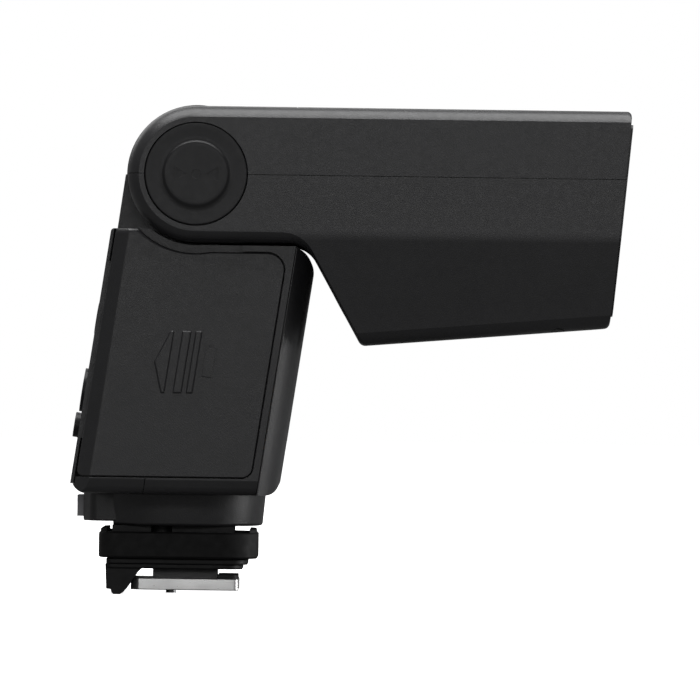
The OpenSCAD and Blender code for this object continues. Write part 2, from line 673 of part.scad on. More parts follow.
// The rounded drum of the hinge end.
module hinge_drum() translate([tilt_x, 0, tilt_z]) rotate([90, 0, 0]) rotate_extrude($fn = 96) polygon(concat(
    [[0, -head_w]], arc([hinge_r - edge_r, -head_w + edge_r], edge_r, -90, 0, 8),
    arc([hinge_r - edge_r, head_w - edge_r], edge_r, 0, 90, 8), [[0, head_w]]
));

module head_solid() {
    hinge_drum();
    cross(tilt_x, heel[0] - 1) hinge_cross();
    intersection() {
        side(-head_w, head_w) head_side();
        cross(heel[0] - 4.2, 80) head_cross();
    }
}
// Hollow of the head: the two hinge drums, the deck above the slot, and the lamp chamber.
module head_hollow() difference() {
    union() {
        both_sides() ycyl(H, hinge_r - head_wall, cheek_in, shell_in);
        intersection() {
            side(-shell_in, shell_in) head_side(head_wall);
            cross(tilt_x, 17.2) hinge_cross(head_wall);
        }
        intersection() {
            side(-shell_in, shell_in) union() {
                head_side(head_wall);
                polygon([
                    [lip[0] - 8, lip[1] + 1.1], [lip[0] + 8, lip[1] + 2.49],
                    [brow[0] + 8, head_top - head_wall], [60, head_top - head_wall]
                ]);
            }
            cross(17.1, 90) head_cross(head_wall);
        }
    }
    ycyl(H, slot_r + 1.6, -cheek_in, cheek_in);
    side(-cheek_in, cheek_in) {
        polygon([[-20, tilt_z], [-20, 90], [10.8, 90], [10.8, tilt_z]]);
        polygon([[-20, tilt_z], [-20, 50], [7.4, 50], [7.4, tilt_z]]);
    }
}
module head_slot() {
    ycyl(H, slot_r, -slot_w, slot_w);
    side(-slot_w, slot_w) {
        polygon([[-20, tilt_z], [-20, 90], [9.2, 90], [9.2, tilt_z]]);
        polygon([[-20, tilt_z + 1], [-20, 50], [5.8, 50], [5.8, tilt_z + 1]]);
    }
}
module head_shell() difference() {
    head_solid();
    head_hollow();
    head_slot();
    ycyl(H, 4.3, -25, 25);
    ycyl(H, push_r + gap, -40, -shell_in + 0.5);
    ycyl(H, push_r + gap, shell_in - 0.5, 40);
    // seam across the top, and a dimple each side for a clip-on diffuser
    block([18.2, -40, head_top - 0.15], [18.35, 40, 90]);
    both_sides() ycyl([62.7, 44.1], 1.5, head_w - 6, head_w);
    for (v = head_screw_at) head_screw_axis(v) translate([0, 0, -1]) cylinder(r = 1.05, h = 12);
    for (v = head_screw_at) head_screw_axis(v) translate([0, 0, -1]) cylinder(r = 1.9, h = 1.9);
}
// Screws go in through the slanting rear face under the head: y, and distance along the slant.
head_screw_at = [-20, 20];
slant = atan((heel[0] - chin[0]) / (heel[1] - chin[1]));
module head_screw_axis(y)
    translate([(heel[0] + chin[0]) / 2 + 0.9, y, (heel[1] + chin[1]) / 2 - 1.6]) rotate([0, 90 + slant, 0]) children();

module head_upper_shell() color("#343436") intersection() {
    head_shell();
    block([-20, -40, tilt_z + gap / 2], [90, 40, 90]);
}
module head_lower_shell() color("#343436") intersection() {
    head_shell();
    block([-20, -40, 30], [90, 40, tilt_z - gap / 2]);
}
module head_screws() color("#3a3a3c") for (y = head_screw_at) head_screw_axis(y) difference() {
    union() {
        cylinder(r = 1.75, h = 0.75);
        cylinder(r = 0.9, h = 7);
    }
    cross_recess(0);
}

// Frame of the light window: origin at the head's lower front corner, local X out along the light.
module window_frame() translate([lip[0], 0, lip[1]]) rotate([0, front_lean, 0]) children();
window_z = norm(brow - lip); // height of the front face
module window_outline(d) offset(delta = -d) polygon(outline([
    [-shell_in, window_z - head_wall - 0.3, 1.2], [-shell_in, 15.1, 2], [-shell_in + 2.6, 1.9, 2.4],
    [shell_in - 2.6, 1.9, 2.4], [shell_in, 15.1, 2], [shell_in, window_z - head_wall - 0.3, 1.2]
]));
module front_bezel() color("#1a1a1c") window_frame() difference() {
    cross(-3, 0.35) window_outline(0.15);
    cross(-5, 2) window_outline(2.4);
    cross(-0.9, 2) window_outline(1.6);
}
module front_lens() color([0.92, 0.93, 0.95, 0.45]) window_frame() union() {
    cross(-0.8, 0.15) window_outline(1.7);
    difference() {
        cross(-2.6, -0.7) window_outline(2.5);
        // prism grooves across the inner face
        for (z = [6:1.3:31]) translate([-2.6, 0, z]) rotate([0, 45, 0]) cube([0.75, 80, 0.75], center = true);
    }
}

reflector_depth = 19;
reflector_h = 13.2;         // half height of its mouth
reflector_w = 26;           // half width inside
focal = reflector_h * reflector_h / (4 * reflector_depth);
mouth = [-3.4, 18.2];       // centre of the reflector's mouth in the window frame
// Section of the reflector: a parabola, open to the front, drawn out by grow.
module trough(grow) polygon([
    for (i = [-12:12])
    let (f = i / 12, depth = reflector_depth + grow, h = reflector_h + grow)
    [mouth[0] + (f * f - 1) * depth, mouth[1] + f * h]
]);
module reflector() color("#dcdcde") window_frame() difference() {
    side(-reflector_w - 0.4, reflector_w + 0.4) trough(0.4);
    side(-reflector_w, reflector_w) trough(0);
    lamp_rod(2.1, -40, 40);
}
module lamp_rod(r, y0, y1) ycyl([mouth[0] - reflector_depth + focal + 1.4, mouth[1]], r, y0, y1);
module flash_tube() color([0.95, 0.97, 1, 0.4]) window_frame() difference() {
    lamp_rod(1.7, -27.4, 27.4);
    lamp_rod(1.15, -40, 40);
}
module tube_electrodes() color("#8a8a90") window_frame() both_sides() {
    lamp_rod(1.05, 22.5, 28.2);
    lamp_rod(0.7, 21, 22.6);
}
module tube_boots() color("#c8c4bc") window_frame() both_sides() difference() {
    lamp_rod(3.2, 26.6, 29.8);
    lamp_rod(1.78, 20, 28.6);
}
board_x = 43.6;             // rear face of the trigger board
module trigger_board() color("#1f5a34") block([board_x, -22, 52], [board_x + 1.2, 22, 76]);
module trigger_coil() color("#7a5a20") {
    translate([board_x - 2.7, 12, 60]) cylinder(r = 2.6, h = 9);
    block([board_x - 2.4, -16, 56], [board_x - 0.05, -6, 62]);
    block([board_x - 2, -12, 66], [board_x - 0.05, -2, 71]);
}
cap_at = [28, 68];
module main_capacitor() color("#20242c") {
    ycyl(cap_at, 9, -20, 20);
    ycyl(cap_at, 7.6, 19.9, 20.6);
    for (s = [-1, 1]) ycyl(cap_at + [0, s * 3.6], 0.5, -23.5, -19.9);
}
module capacitor_cradle() color("#26262a") both_sides() difference() {
    side(10, 13) polygon([
            [24.1, 56.3], [26.7, 51.5], [30, 51.5], [35.5, 60], [37.4, 66],
            [37.4, 68], [19.4, 68], [19.4, 61.8], [21.6, 60]
        ]);
    ycyl(cap_at, 9.1, -40, 40);
    block([0, -40, 60.9], [20.2, 40, 90]);
}

module hinge_bushes() color("#b08d57") both_sides() difference() {
    union() {
        ycyl(H, 4.2, slot_w + 0.1, cheek_in + 0.9);
        ycyl(H, 5.2, cheek_in + 0.1, cheek_in + 0.9);
    }
    ycyl(H, 2.95, 0, 40);
}
shaft_end = 24.5;
module tilt_shaft() color("#9a9aa0") {
    ycyl(H, 2.9, -shaft_end, shaft_end);
    both_sides() ycyl(H, 4.4, shaft_end - 1.2, shaft_end);
}
click_angles = [0, 45, 60, 75, 90, 120];
module click_plate() color("#8d8d92") difference() {
    ycyl(H, 7.2, -23, -22.2);
    ycyl(H, 2.93, -40, 0);
    for (a = click_angles) translate([H[0], 0, H[1]]) rotate([0, 160 - a, 0])
        translate([7.2, 0, 0]) rotate([90, 0, 0]) cylinder(r = 0.9, h = 60, center = true);
}

module push_mark() {
    circle(r = 0.75);
    for (s = [0, 1]) mirror([s, 0]) polygon([[1.7, 0], [3.8, 1.25], [3.8, -1.25]]);
}
module release_button() color("#29292b") difference() {
    union() {
        ycyl(H, push_r, -head_w, -head_w + 1.6);
        ycyl(H, 5.4, -head_w - 0.25, -head_w + 0.1);
        ycyl(H, 5.6, -head_w + 1.5, -26.7);
    }
    ycyl(H, 4.7, -head_w + 1.6, -20);
    side(-head_w - 1, -head_w - 0.1) translate(H) push_mark();
}
module release_spring() color("#b0b0b4") translate([H[0], -shaft_end, H[1]]) rotate([90, 0, 0])
    coil(0.3, 3.3, 3.3, head_w - 1.6 - shaft_end, 4.5);
module left_hinge_cap() color("#29292b") {
    ycyl(H, push_r, head_w - 1.6, head_w);
    ycyl(H, 5.4, head_w - 0.1, head_w + 0.25);
    ycyl(H, 4.6, 27.2, head_w - 1.5);
}

main_frame();
hinge_bracket();
side_rims();
base_sole();
front_cover();
rear_panel();
left_cover();
indicator_window();
indicator_leds();
keypad_membrane();
control_board();
tact_switches();
power_board();
power_transformer();
board_components();
aa_cells();
bay_contacts();
bay_spring();
bay_seal();
tilt_shaft();
click_plate();
body_screws();
base_collar();
foot_base();
shoe_skirt();
foot_plate();
foot_screws();
contact_block();
contact_pins();
lock_spring();
door_slider();
door_hinge_pin();
battery_door();
door_contacts();
door_spring();
head_upper_shell();
head_lower_shell();
front_bezel();
front_lens();
reflector();
flash_tube();
tube_electrodes();
tube_boots();
trigger_board();
trigger_coil();
main_capacitor();
capacitor_cradle();
hinge_bushes();
left_hinge_cap();
head_screws();
release_button();
release_spring();
plus_button();
minus_button();
test_button();
pairing_button();
power_switch();
lock_button();
lock_pin();
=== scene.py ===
"""Looks of a compact speedlight flash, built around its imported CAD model.

+X is where the light goes, +Y is the flash's left, +Z is up. Sizes in the shape code are in millimetres,
in the model's own frame, and pieces turn them into metres as their meshes are made.
"""

import json
import math

import bmesh
import bpy
from mathutils import Matrix, Vector


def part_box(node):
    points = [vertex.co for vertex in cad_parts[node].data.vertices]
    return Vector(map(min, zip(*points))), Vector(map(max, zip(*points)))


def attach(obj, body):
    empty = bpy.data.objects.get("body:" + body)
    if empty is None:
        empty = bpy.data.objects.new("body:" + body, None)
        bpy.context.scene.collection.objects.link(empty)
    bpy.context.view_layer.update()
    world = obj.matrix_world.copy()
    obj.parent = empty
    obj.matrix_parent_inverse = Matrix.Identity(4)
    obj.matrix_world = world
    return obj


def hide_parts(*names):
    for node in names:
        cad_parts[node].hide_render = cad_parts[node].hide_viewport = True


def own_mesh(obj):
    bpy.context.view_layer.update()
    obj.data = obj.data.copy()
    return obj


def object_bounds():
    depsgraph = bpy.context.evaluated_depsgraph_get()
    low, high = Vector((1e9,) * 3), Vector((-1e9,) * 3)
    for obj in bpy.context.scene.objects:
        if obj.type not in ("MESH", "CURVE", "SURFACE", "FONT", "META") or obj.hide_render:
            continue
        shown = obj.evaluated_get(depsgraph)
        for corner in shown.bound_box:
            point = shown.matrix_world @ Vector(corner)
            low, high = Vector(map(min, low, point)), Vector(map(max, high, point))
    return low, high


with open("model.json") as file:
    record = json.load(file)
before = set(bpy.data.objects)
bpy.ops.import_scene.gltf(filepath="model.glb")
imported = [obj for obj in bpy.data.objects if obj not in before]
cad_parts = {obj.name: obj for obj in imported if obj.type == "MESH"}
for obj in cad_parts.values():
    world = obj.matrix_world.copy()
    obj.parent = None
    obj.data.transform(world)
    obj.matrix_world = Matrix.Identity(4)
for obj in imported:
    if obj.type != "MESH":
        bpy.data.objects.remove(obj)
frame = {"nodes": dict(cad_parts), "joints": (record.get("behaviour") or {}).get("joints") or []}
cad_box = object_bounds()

MM = 0.001


# ---------- sizes, taken from the frame ----------

def box_mm(node):
    """Lowest and highest corners of a CAD node, in millimetres."""
    low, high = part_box(node)
    return [v / MM for v in low], [v / MM for v in high]


def joint(name):
    return next(j for j in frame["joints"] if j["name"] == name)


HINGE = Vector((joint("head_tilt")["pos_m"][0], joint("head_tilt")["pos_m"][2])) / MM
SWING_AXIS = Vector(joint("door_swing")["axis"])
LEAN = math.atan2(-SWING_AXIS.x, -SWING_AXIS.z)     # the body leans forward by this angle
CL, SL = math.cos(LEAN), math.sin(LEAN)

low, high = box_mm("head_upper_shell")
HEAD_W = high[1]
HEAD_TOP = high[2]
BROW_X = high[0]
HINGE_R = HEAD_TOP - HINGE.y
low, high = box_mm("head_lower_shell")
CHIN_Z = low[2]
low, high = box_mm("battery_door")
SILL_Z = low[2]
low, high = box_mm("left_cover")
BODY_W = high[1]
SKIN = high[1] - low[1]
low, high = box_mm("main_frame")
BODY_Z = box_mm("front_cover")[0][2]
TONGUE_R = high[2] - HINGE.y
low, high = box_mm("release_button")
PUSH_R = (high[0] - low[0]) / 2

# Leaning lines of the body: distances p from its centre line, positive to the front.
P_REAR = -21.62
P_DOOR_REAR = -20.75
P_HINGE = -19.6                # the door's hinge pin
P_CREASE = -18.5
P_DOOR_FRONT = 8.35
P_COVER = 9.7
P_FRONT = 13.02
COVER_ROUND = 11.3             # radius of the front cover's upright edges
TOP_ROUND = 4.1                # radii of the corners of the body's side outline: front top,
FOOT_ROUND = 2.2               # front bottom
REAR_ROUND = 2.7               # and rear bottom
GAP = 0.12                     # seam between two covers
SHOULDER_Z = 58.6
SHELF_Z = 61.25
DOOR_TOP = 57.45
DOOR_ARC = 13.3
DOOR_IN = BODY_W - SKIN
BLOCK_W = DOOR_IN - 0.2
SOLE_X = -6.8                  # where the sole meets the rims
SOLE_TOP = 18.2
TONGUE_W = 19
SLOT_W = TONGUE_W + 0.4
SLOT_R = TONGUE_R + 0.4
HEAD_BASE = 59
WALL = 1.8
COLLAR_Z = 11
LOCK_X = -2.5                  # centre of the lock pin
COLLAR_SCREWS = ((8, 8), (8, -8), (-4, 10.6), (-4, -10.6))
PLATE_SCREW_X = (-4.1, 3.2)
PLATE_SCREW_Y = (-3.6, 3.6)
FOOT_W, FOOT_L, FOOT_T = 18.6, 18.4, 1.95
FIN_Z = -0.85


def lx(p, z):
    """x of the leaning line p at height z."""
    return p / CL + z * SL / CL


def leaned(p, y, q):
    """The point at p across the lean and q along it."""
    return Vector((p * CL + q * SL, y, -p * SL + q * CL))


def lean_pq(x, z):
    """How far a side point is across the lean and along it."""
    return x * CL - z * SL, x * SL + z * CL


# ---------- outlines ----------

def arc(centre, radius, start, end, steps):
    """Points from angle start to angle end, in degrees."""
    angles = [math.radians(start + (end - start) * i / steps) for i in range(steps + 1)]
    return [Vector((centre[0] + radius * math.cos(a), centre[1] + radius * math.sin(a))) for a in angles]


def meet(p1, d1, p2, d2):
    """Where two lines cross, each a point and a direction."""
    cross = d1.x * d2.y - d1.y * d2.x
    if abs(cross) < 1e-9:
        return (p1 + p2) / 2
    offset = p2 - p1
    return p1 + d1 * ((offset.x * d2.y - offset.y * d2.x) / cross)


def outline(corners, insets=None):
    """A closed outline from corners (x, y, radius, steps).

    insets holds one distance for the edge that leaves each corner, and moves that edge inwards.
    """
    count = len(corners)
    insets = insets or [0] * count
    points = [Vector(c[:2]) for c in corners]
    following = points[1:] + points[:1]
    area = sum(a.x * b.y - b.x * a.y for a, b in zip(points, following))
    turn = 1 if area > 0 else -1
    lines = []
    for i in range(count):
        direction = (following[i] - points[i]).normalized()
        inward = Vector((-direction.y, direction.x)) * turn
        lines.append((points[i] + inward * insets[i], direction))
    loop = []
    for i in range(count):
        before, after = lines[i - 1], lines[i]
        corner = meet(*before, *after)
        radius, steps = corners[i][2], corners[i][3] if len(corners[i]) > 3 else 6
        if radius == 0:
            loop.append(corner)
            continue
        bend = (before[1].x * after[1].y - before[1].y * after[1].x) * turn
        inset = (insets[i - 1] + insets[i]) / 2
        radius = max(radius - inset, 0.02) if bend > 0 else radius + inset
        back, forward = -before[1], after[1]
        half = back.angle(forward) / 2
        centre = corner + (back + forward).normalized() * radius / math.sin(half)
        start = corner + back * radius / math.tan(half) - centre
        end = corner + forward * radius / math.tan(half) - centre
        a0, a1 = math.atan2(start.y, start.x), math.atan2(end.y, end.x)
        sweep = (a1 - a0 + 3 * math.pi) % (2 * math.pi) - math.pi
        for k in range(steps + 1):
            a = a0 + sweep * k / steps
            loop.append(centre + Vector((math.cos(a), math.sin(a))) * radius)
    return loop


# ---------- meshes ----------

def side_point(v, y):
    """A point in space from a point of the side view."""
    return Vector((v.x, y, v.y))


def new_object(name, bm):
    bmesh.ops.recalc_face_normals(bm, faces=bm.faces)
    mesh = bpy.data.meshes.new(name)
    for v in bm.verts:
        v.co *= MM
    bm.to_mesh(mesh)
    bm.free()
    thing = bpy.data.objects.new(name, mesh)
    bpy.context.scene.collection.objects.link(thing)
    return thing


def loft(name, rings):
    """A closed solid through rings of points in space, all with the same count."""
    bm = bmesh.new()
    loops = [[bm.verts.new(v) for v in ring] for ring in rings]
    for a, b in zip(loops, loops[1:]):
        for i in range(len(a)):
            j = (i + 1) % len(a)
            bm.faces.new((a[i], a[j], b[j], b[i]))
    bm.faces.new(loops[0])
    bm.faces.new(loops[-1])
    bmesh.ops.remove_doubles(bm, verts=bm.verts, dist=0.002)
    return new_object(name, bm)


def prism(name, points, y0, y1, place=side_point):
    """An outline pushed straight from y0 to y1."""
    return loft(name, [[place(v, y) for v in points] for y in (y0, y1)])


def lathe(name, profile, place, steps=96):
    """Revolves (radius, height) points; place turns (a, b, height) into a point in space."""
    bm = bmesh.new()
    loops = []
    for r, h in profile:
        if r < 1e-6:
            loops.append([bm.verts.new(place(0, 0, h))])
        else:
            angles = [2 * math.pi * k / steps for k in range(steps)]
            loops.append([bm.verts.new(place(r * math.cos(a), r * math.sin(a), h)) for a in angles])
    for a, b in zip(loops, loops[1:]):
        for k in range(steps):
            n = (k + 1) % steps
            quad = [a[k % len(a)], a[n % len(a)], b[n % len(b)], b[k % len(b)]]
            face = list(dict.fromkeys(quad))
            if len(face) > 2:
                bm.faces.new(face)
    for loop in (loops[0], loops[-1]):
        if len(loop) > 1:
            bm.faces.new(loop)
    return new_object(name, bm)


def cylinder(name, centre, radius, y0, y1, steps=96):
    """A cylinder along Y about the side point centre."""
    return prism(name, arc(centre, radius, 0, 360 * (1 - 1 / steps), steps - 1), y0, y1)


def block(name, low, high):
    return prism(name, [Vector((low[0], low[2])), Vector((high[0], low[2])), Vector((high[0], high[2])),
                        Vector((low[0], high[2]))], low[1], high[1])


def leaning_block(name, low, high):
    corners = [(low[0], low[2]), (high[0], low[2]), (high[0], high[2]), (low[0], high[2])]
    rings = [[leaned(p, y, q) for p, q in corners] for y in (low[1], high[1])]
    return loft(name, rings)


def boolean(thing, tools, operation="DIFFERENCE"):
    """Cuts or joins the tools into the thing, then removes them."""
    for tool in tools:
        step = thing.modifiers.new(operation.lower(), "BOOLEAN")
        step.operation = operation
        step.solver = "EXACT"
        step.object = tool
        apply_modifiers(thing)
        bpy.data.objects.remove(tool)
    return thing


def apply_modifiers(thing):
    """Turns a piece's modifiers into its mesh."""
    bpy.context.view_layer.update()
    seen = thing.evaluated_get(bpy.context.evaluated_depsgraph_get())
    mesh = bpy.data.meshes.new_from_object(seen)
    old = thing.data
    thing.modifiers.clear()
    thing.data = mesh
    bpy.data.meshes.remove(old)


def edit(thing, work):
    """Runs work on the thing's bmesh, in millimetres."""
    bm = bmesh.new()
    bm.from_mesh(thing.data)
    for v in bm.verts:
        v.co /= MM
    work(bm)
    for v in bm.verts:
        v.co *= MM
    bm.to_mesh(thing.data)
    bm.free()


def slice_at(bm, point, normal):
    """Adds an edge loop where a plane meets the mesh."""
    whole = bm.verts[:] + bm.edges[:] + bm.faces[:]
    bmesh.ops.bisect_plane(bm, geom=whole, dist=0.001, plane_co=point, plane_no=normal)


def tidy(bm):
    """Merges points and drops faces too small to shade well."""
    bmesh.ops.remove_doubles(bm, verts=bm.verts, dist=0.003)
    bmesh.ops.dissolve_degenerate(bm, edges=bm.edges, dist=0.003)


def soften(thing, width=0.12, segments=2, angle=30):
    """Small rounded edges, with smooth shading between them."""
    edit(thing, tidy)
    bevel = thing.modifiers.new("edges", "BEVEL")
    bevel.width = width * MM
    bevel.segments = segments
    bevel.limit_method = "ANGLE"
    bevel.angle_limit = math.radians(angle)
    bevel.miter_outer = "MITER_ARC"
    bevel.use_clamp_overlap = True
    smooth(thing)
    normals = thing.modifiers.new("normals", "WEIGHTED_NORMAL")
    normals.keep_sharp = True
    return thing


def smooth(thing, angle=35):
    """Shades faces smooth, except across edges that are sharper than the angle."""
    mesh = thing.data
    mesh.polygons.foreach_set("use_smooth", [True] * len(mesh.polygons))
    mesh.set_sharp_from_angle(angle=math.radians(angle))


# ---------- materials ----------

class Nodes:
    """Short way to build a node material."""

    def __init__(self, name):
        self.material = bpy.data.materials.new(name)
        self.material.use_nodes = True
        self.tree = self.material.node_tree
        self.surface = self.tree.nodes["Principled BSDF"]
        self.place = self.add("ShaderNodeTexCoord").outputs["Object"]

    def add(self, kind, **values):
        node = self.tree.nodes.new(kind)
        for key, value in values.items():
            if hasattr(node, key):
                setattr(node, key, value)
            else:
                node.inputs[key.replace("_", " ")].default_value = value
        return node

    def link(self, output, node, socket):
        self.tree.links.new(output, node.inputs[socket])

    def noise(self, scale, detail=3.0, rough=0.5, stretch=(1, 1, 1)):
        """Noise with scale cells per metre."""
        spread = self.add("ShaderNodeMapping")
        spread.inputs["Scale"].default_value = stretch
        self.link(self.place, spread, "Vector")
        node = self.add("ShaderNodeTexNoise", Scale=scale, Detail=detail, Roughness=rough)
        self.link(spread.outputs["Vector"], node, "Vector")
        return node.outputs["Fac"]

    def cells(self, scale):
        node = self.add("ShaderNodeTexVoronoi", Scale=scale)
        self.link(self.place, node, "Vector")
        return node.outputs["Distance"]

    def ramp(self, value, low, high, start=0.3, end=0.7):
        """Maps a value from start..end to low..high."""
        node = self.add("ShaderNodeMapRange")
        node.inputs["From Min"].default_value = start
        node.inputs["From Max"].default_value = end
        node.inputs["To Min"].default_value = low
        node.inputs["To Max"].default_value = high
        self.link(value, node, "Value")
        return node.outputs["Result"]

    def mix(self, factor, a, b):
        node = self.add("ShaderNodeMix", data_type="RGBA")
        node.inputs["A"].default_value = (*a, 1)
        node.inputs["B"].default_value = (*b, 1)
        self.link(factor, node, "Factor")
        return node.outputs["Result"]

    def bump(self, heights):
        """Chains (value, strength, distance in mm) bumps onto the surface."""
        last = None
        for value, strength, distance in heights:
            node = self.add("ShaderNodeBump", Strength=strength, Distance=distance * MM)
            self.link(value, node, "Height")
            if last:
                self.link(last, node, "Normal")
            last = node.outputs["Normal"]
        self.link(last, self.surface, "Normal")


def tinted(colour, gain):
    return tuple(min(c * gain, 1) for c in colour)


def plastic(name, colour, rough=0.42, grain=0.5, cell=0.22, shine=0.5):
    """Moulded plastic with a spark-eroded grain of the given cell size in mm."""
    n = Nodes(name)
    fine = n.cells(1 / (cell * MM))
    broad = n.noise(120, 2)
    tone = n.mix(n.ramp(broad, 0, 1), tinted(colour, 0.93), tinted(colour, 1.07))
    n.link(tone, n.surface, "Base Color")
    n.link(n.ramp(n.noise(900, 4), rough - 0.04, rough + 0.05), n.surface, "Roughness")
    n.surface.inputs["IOR"].default_value = 1.49
    n.surface.inputs["Specular IOR Level"].default_value = shine
    n.bump([(fine, grain, 0.02), (n.noise(2600, 3), grain * 0.6, 0.012)])
    return n.material


def rubber(name, colour, rough=0.7, shine=0.5):
    """Dull, slightly mottled rubber."""
    n = Nodes(name)
    n.surface.inputs["Specular IOR Level"].default_value = shine
    tone = n.mix(n.ramp(n.noise(300, 4), 0, 1), tinted(colour, 0.85), tinted(colour, 1.2))
    n.link(tone, n.surface, "Base Color")
    n.link(n.ramp(n.noise(700, 4), rough - 0.06, rough + 0.08), n.surface, "Roughness")
    n.bump([(n.noise(3000, 4), 0.25, 0.02)])
    return n.material


def metal(name, colour, rough=0.3, brush=(1, 1, 1), scratch=0.15):
    """Metal with fine streaks; brush stretches them along an axis."""
    n = Nodes(name)
    n.surface.inputs["Metallic"].default_value = 1
    streaks = n.noise(1500, 4, 0.6, brush)
    tone = n.mix(n.ramp(n.noise(200, 3), 0, 1), tinted(colour, 0.9), tinted(colour, 1.05))
    n.link(tone, n.surface, "Base Color")
    n.link(n.ramp(streaks, rough - 0.07, rough + 0.1), n.surface, "Roughness")
    n.bump([(streaks, scratch, 0.01)])
    return n.material


def clear(name, colour, rough=0.03, ior=1.49):
    """Clear plastic or glass."""
    n = Nodes(name)
    n.surface.inputs["Base Color"].default_value = (*colour, 1)
    n.surface.inputs["Transmission Weight"].default_value = 1
    n.surface.inputs["IOR"].default_value = ior
    n.link(n.ramp(n.noise(60, 2), rough, rough + 0.03), n.surface, "Roughness")
    return n.material


def board(name):
    """Green solder mask with traces showing through and tinned pads."""
    n = Nodes(name)
    cells = n.add("ShaderNodeTexVoronoi", Scale=420, feature="DISTANCE_TO_EDGE", distance="MANHATTAN")
    n.link(n.place, cells, "Vector")
    traces = n.ramp(cells.outputs["Distance"], 1, 0, 0.04, 0.08)
    n.link(n.mix(traces, (0.012, 0.11, 0.035), (0.03, 0.24, 0.08)), n.surface, "Base Color")
    n.surface.inputs["Roughness"].default_value = 0.28
    n.bump([(traces, 0.4, 0.03)])
    return n.material


def winding(name):
    """Enamelled copper wire, wound in fine turns."""
    n = Nodes(name)
    wave = n.add("ShaderNodeTexWave", Scale=1500, Distortion=1.2)
    n.link(n.place, wave, "Vector")
    turns = wave.outputs["Fac"]
    n.link(n.mix(turns, (0.16, 0.05, 0.012), (0.55, 0.22, 0.06)), n.surface, "Base Color")
    n.surface.inputs["Metallic"].default_value = 0.7
    n.surface.inputs["Roughness"].default_value = 0.3
    n.bump([(turns, 0.6, 0.08)])
    return n.material


def give(thing, material):
    thing.data.materials.clear()
    thing.data.materials.append(material)
    return thing


def finish(thing, material, body, nodes):
    """Gives a piece its material and body, and hides the CAD nodes it stands for."""
    give(thing, material)
    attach(thing, body)
    for node in nodes:
        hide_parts(node)


BODY_BLACK = plastic("body plastic", (0.0165, 0.0165, 0.0178), 0.37, 0.5)
HEAD_BLACK = plastic("head plastic", (0.02, 0.02, 0.0215), 0.37, 0.5)
BUTTON_BLACK = plastic("button plastic", (0.011, 0.011, 0.012), 0.4, 0.3, 0.15, 0.36)
FOOT_BLACK = plastic("foot plastic", (0.006, 0.006, 0.0065), 0.5, 0.3, 0.3, 0.3)
LOCK_GREY = plastic("lock button plastic", (0.2, 0.2, 0.21), 0.42, 0.2, 0.15)
SKIRT_RUBBER = rubber("skirt rubber", (0.006, 0.006, 0.0063), 0.66, 0.3)
FOOT_METAL = metal("foot metal", (0.93, 0.93, 0.925), 0.34, (1, 6, 6), 0.12)
STEEL = metal("turned steel", (0.56, 0.56, 0.57), 0.28, (6, 1, 6))
SPRING_STEEL = metal("spring steel", (0.5, 0.5, 0.51), 0.3)
SCREW_BLACK = metal("black screws", (0.05, 0.05, 0.052), 0.35)
TIN = metal("tinned steel", (0.68, 0.68, 0.69), 0.25)
CONTACT = metal("plated contacts", (0.78, 0.72, 0.55), 0.25)
GOLD = metal("gold contacts", (0.95, 0.72, 0.33), 0.22)
BRONZE = metal("sintered bronze", (0.5, 0.33, 0.17), 0.45)
MIRROR = metal("reflector", (0.9, 0.9, 0.91), 0.1, (1, 8, 1), 0.05)
CELL = plastic("cell jacket", (0.5, 0.5, 0.53), 0.25, 0.05)
SLEEVE = plastic("capacitor sleeve", (0.016, 0.02, 0.03), 0.25, 0.1)
CHIP = plastic("chip epoxy", (0.022, 0.022, 0.022), 0.45, 0.4, 0.1)
MILKY = plastic("lamp", (0.8, 0.8, 0.7), 0.3, 0.05)
SILICONE = rubber("silicone", (0.55, 0.53, 0.5), 0.5)
KEYPAD = rubber("keypad silicone", (0.22, 0.22, 0.23), 0.6)
BOARD = board("circuit board")
COPPER = winding("winding")
LENS = clear("front lens", (0.97, 0.98, 1.0), 0.04)
TUBE = clear("flash tube glass", (0.98, 0.99, 1.0), 0.01, 1.47)
SMOKED = plastic("smoked window", (0.006, 0.003, 0.003), 0.12, 0.02)


# ---------- head ----------

HEAD_ROUND = 3.58           # radius of the long top edges, cut off where they meet the sides
HEAD_BREAK = 28             # their normal there, in degrees from level
CREASE_Z = 60.6             # the sides draw in below this crease
TAPER = 3.2 / 18.9
CHIN = Vector((29.56, CHIN_Z))
LIP = Vector((71.2, 45.5))


def head_corners():
    """Side outline of the head, from the rear over the hinge, under the chin and up the front."""
    rear = HINGE.x - HINGE_R
    heel_x = CHIN.x + (CHIN.y - HEAD_BASE) * 0.558
    return [
        (rear, HEAD_TOP, HINGE_R, 20), (rear, HEAD_BASE, HINGE_R, 20), (heel_x, HEAD_BASE, 4.85, 12),
        (CHIN.x, CHIN.y, 1.3, 6), (LIP.x, LIP.y, 1.0, 5), (BROW_X, HEAD_TOP, 0.8, 5),
    ]


def head_width(z):
    """Half width lost to the taper under the crease, with the crease itself softened."""
    soft = 0.9
    below = CREASE_Z - z
    if below < -soft:
        return 0
    if below < soft:
        return TAPER * (below + soft) ** 2 / (4 * soft)
    return TAPER * below


def taper(bm):
    """Draws the cheeks in under the crease, ahead of the hinge."""
    for k in (-0.9, -0.45, 0, 0.45, 0.9):
        slice_at(bm, (0, 0, CREASE_Z + k), (0, 0, 1))
    for v in bm.verts:
        if v.co.x > HINGE.x:
            v.co.y -= math.copysign(head_width(v.co.z), v.co.y) * min(1, max(0, (v.co.x - 17) / 6))


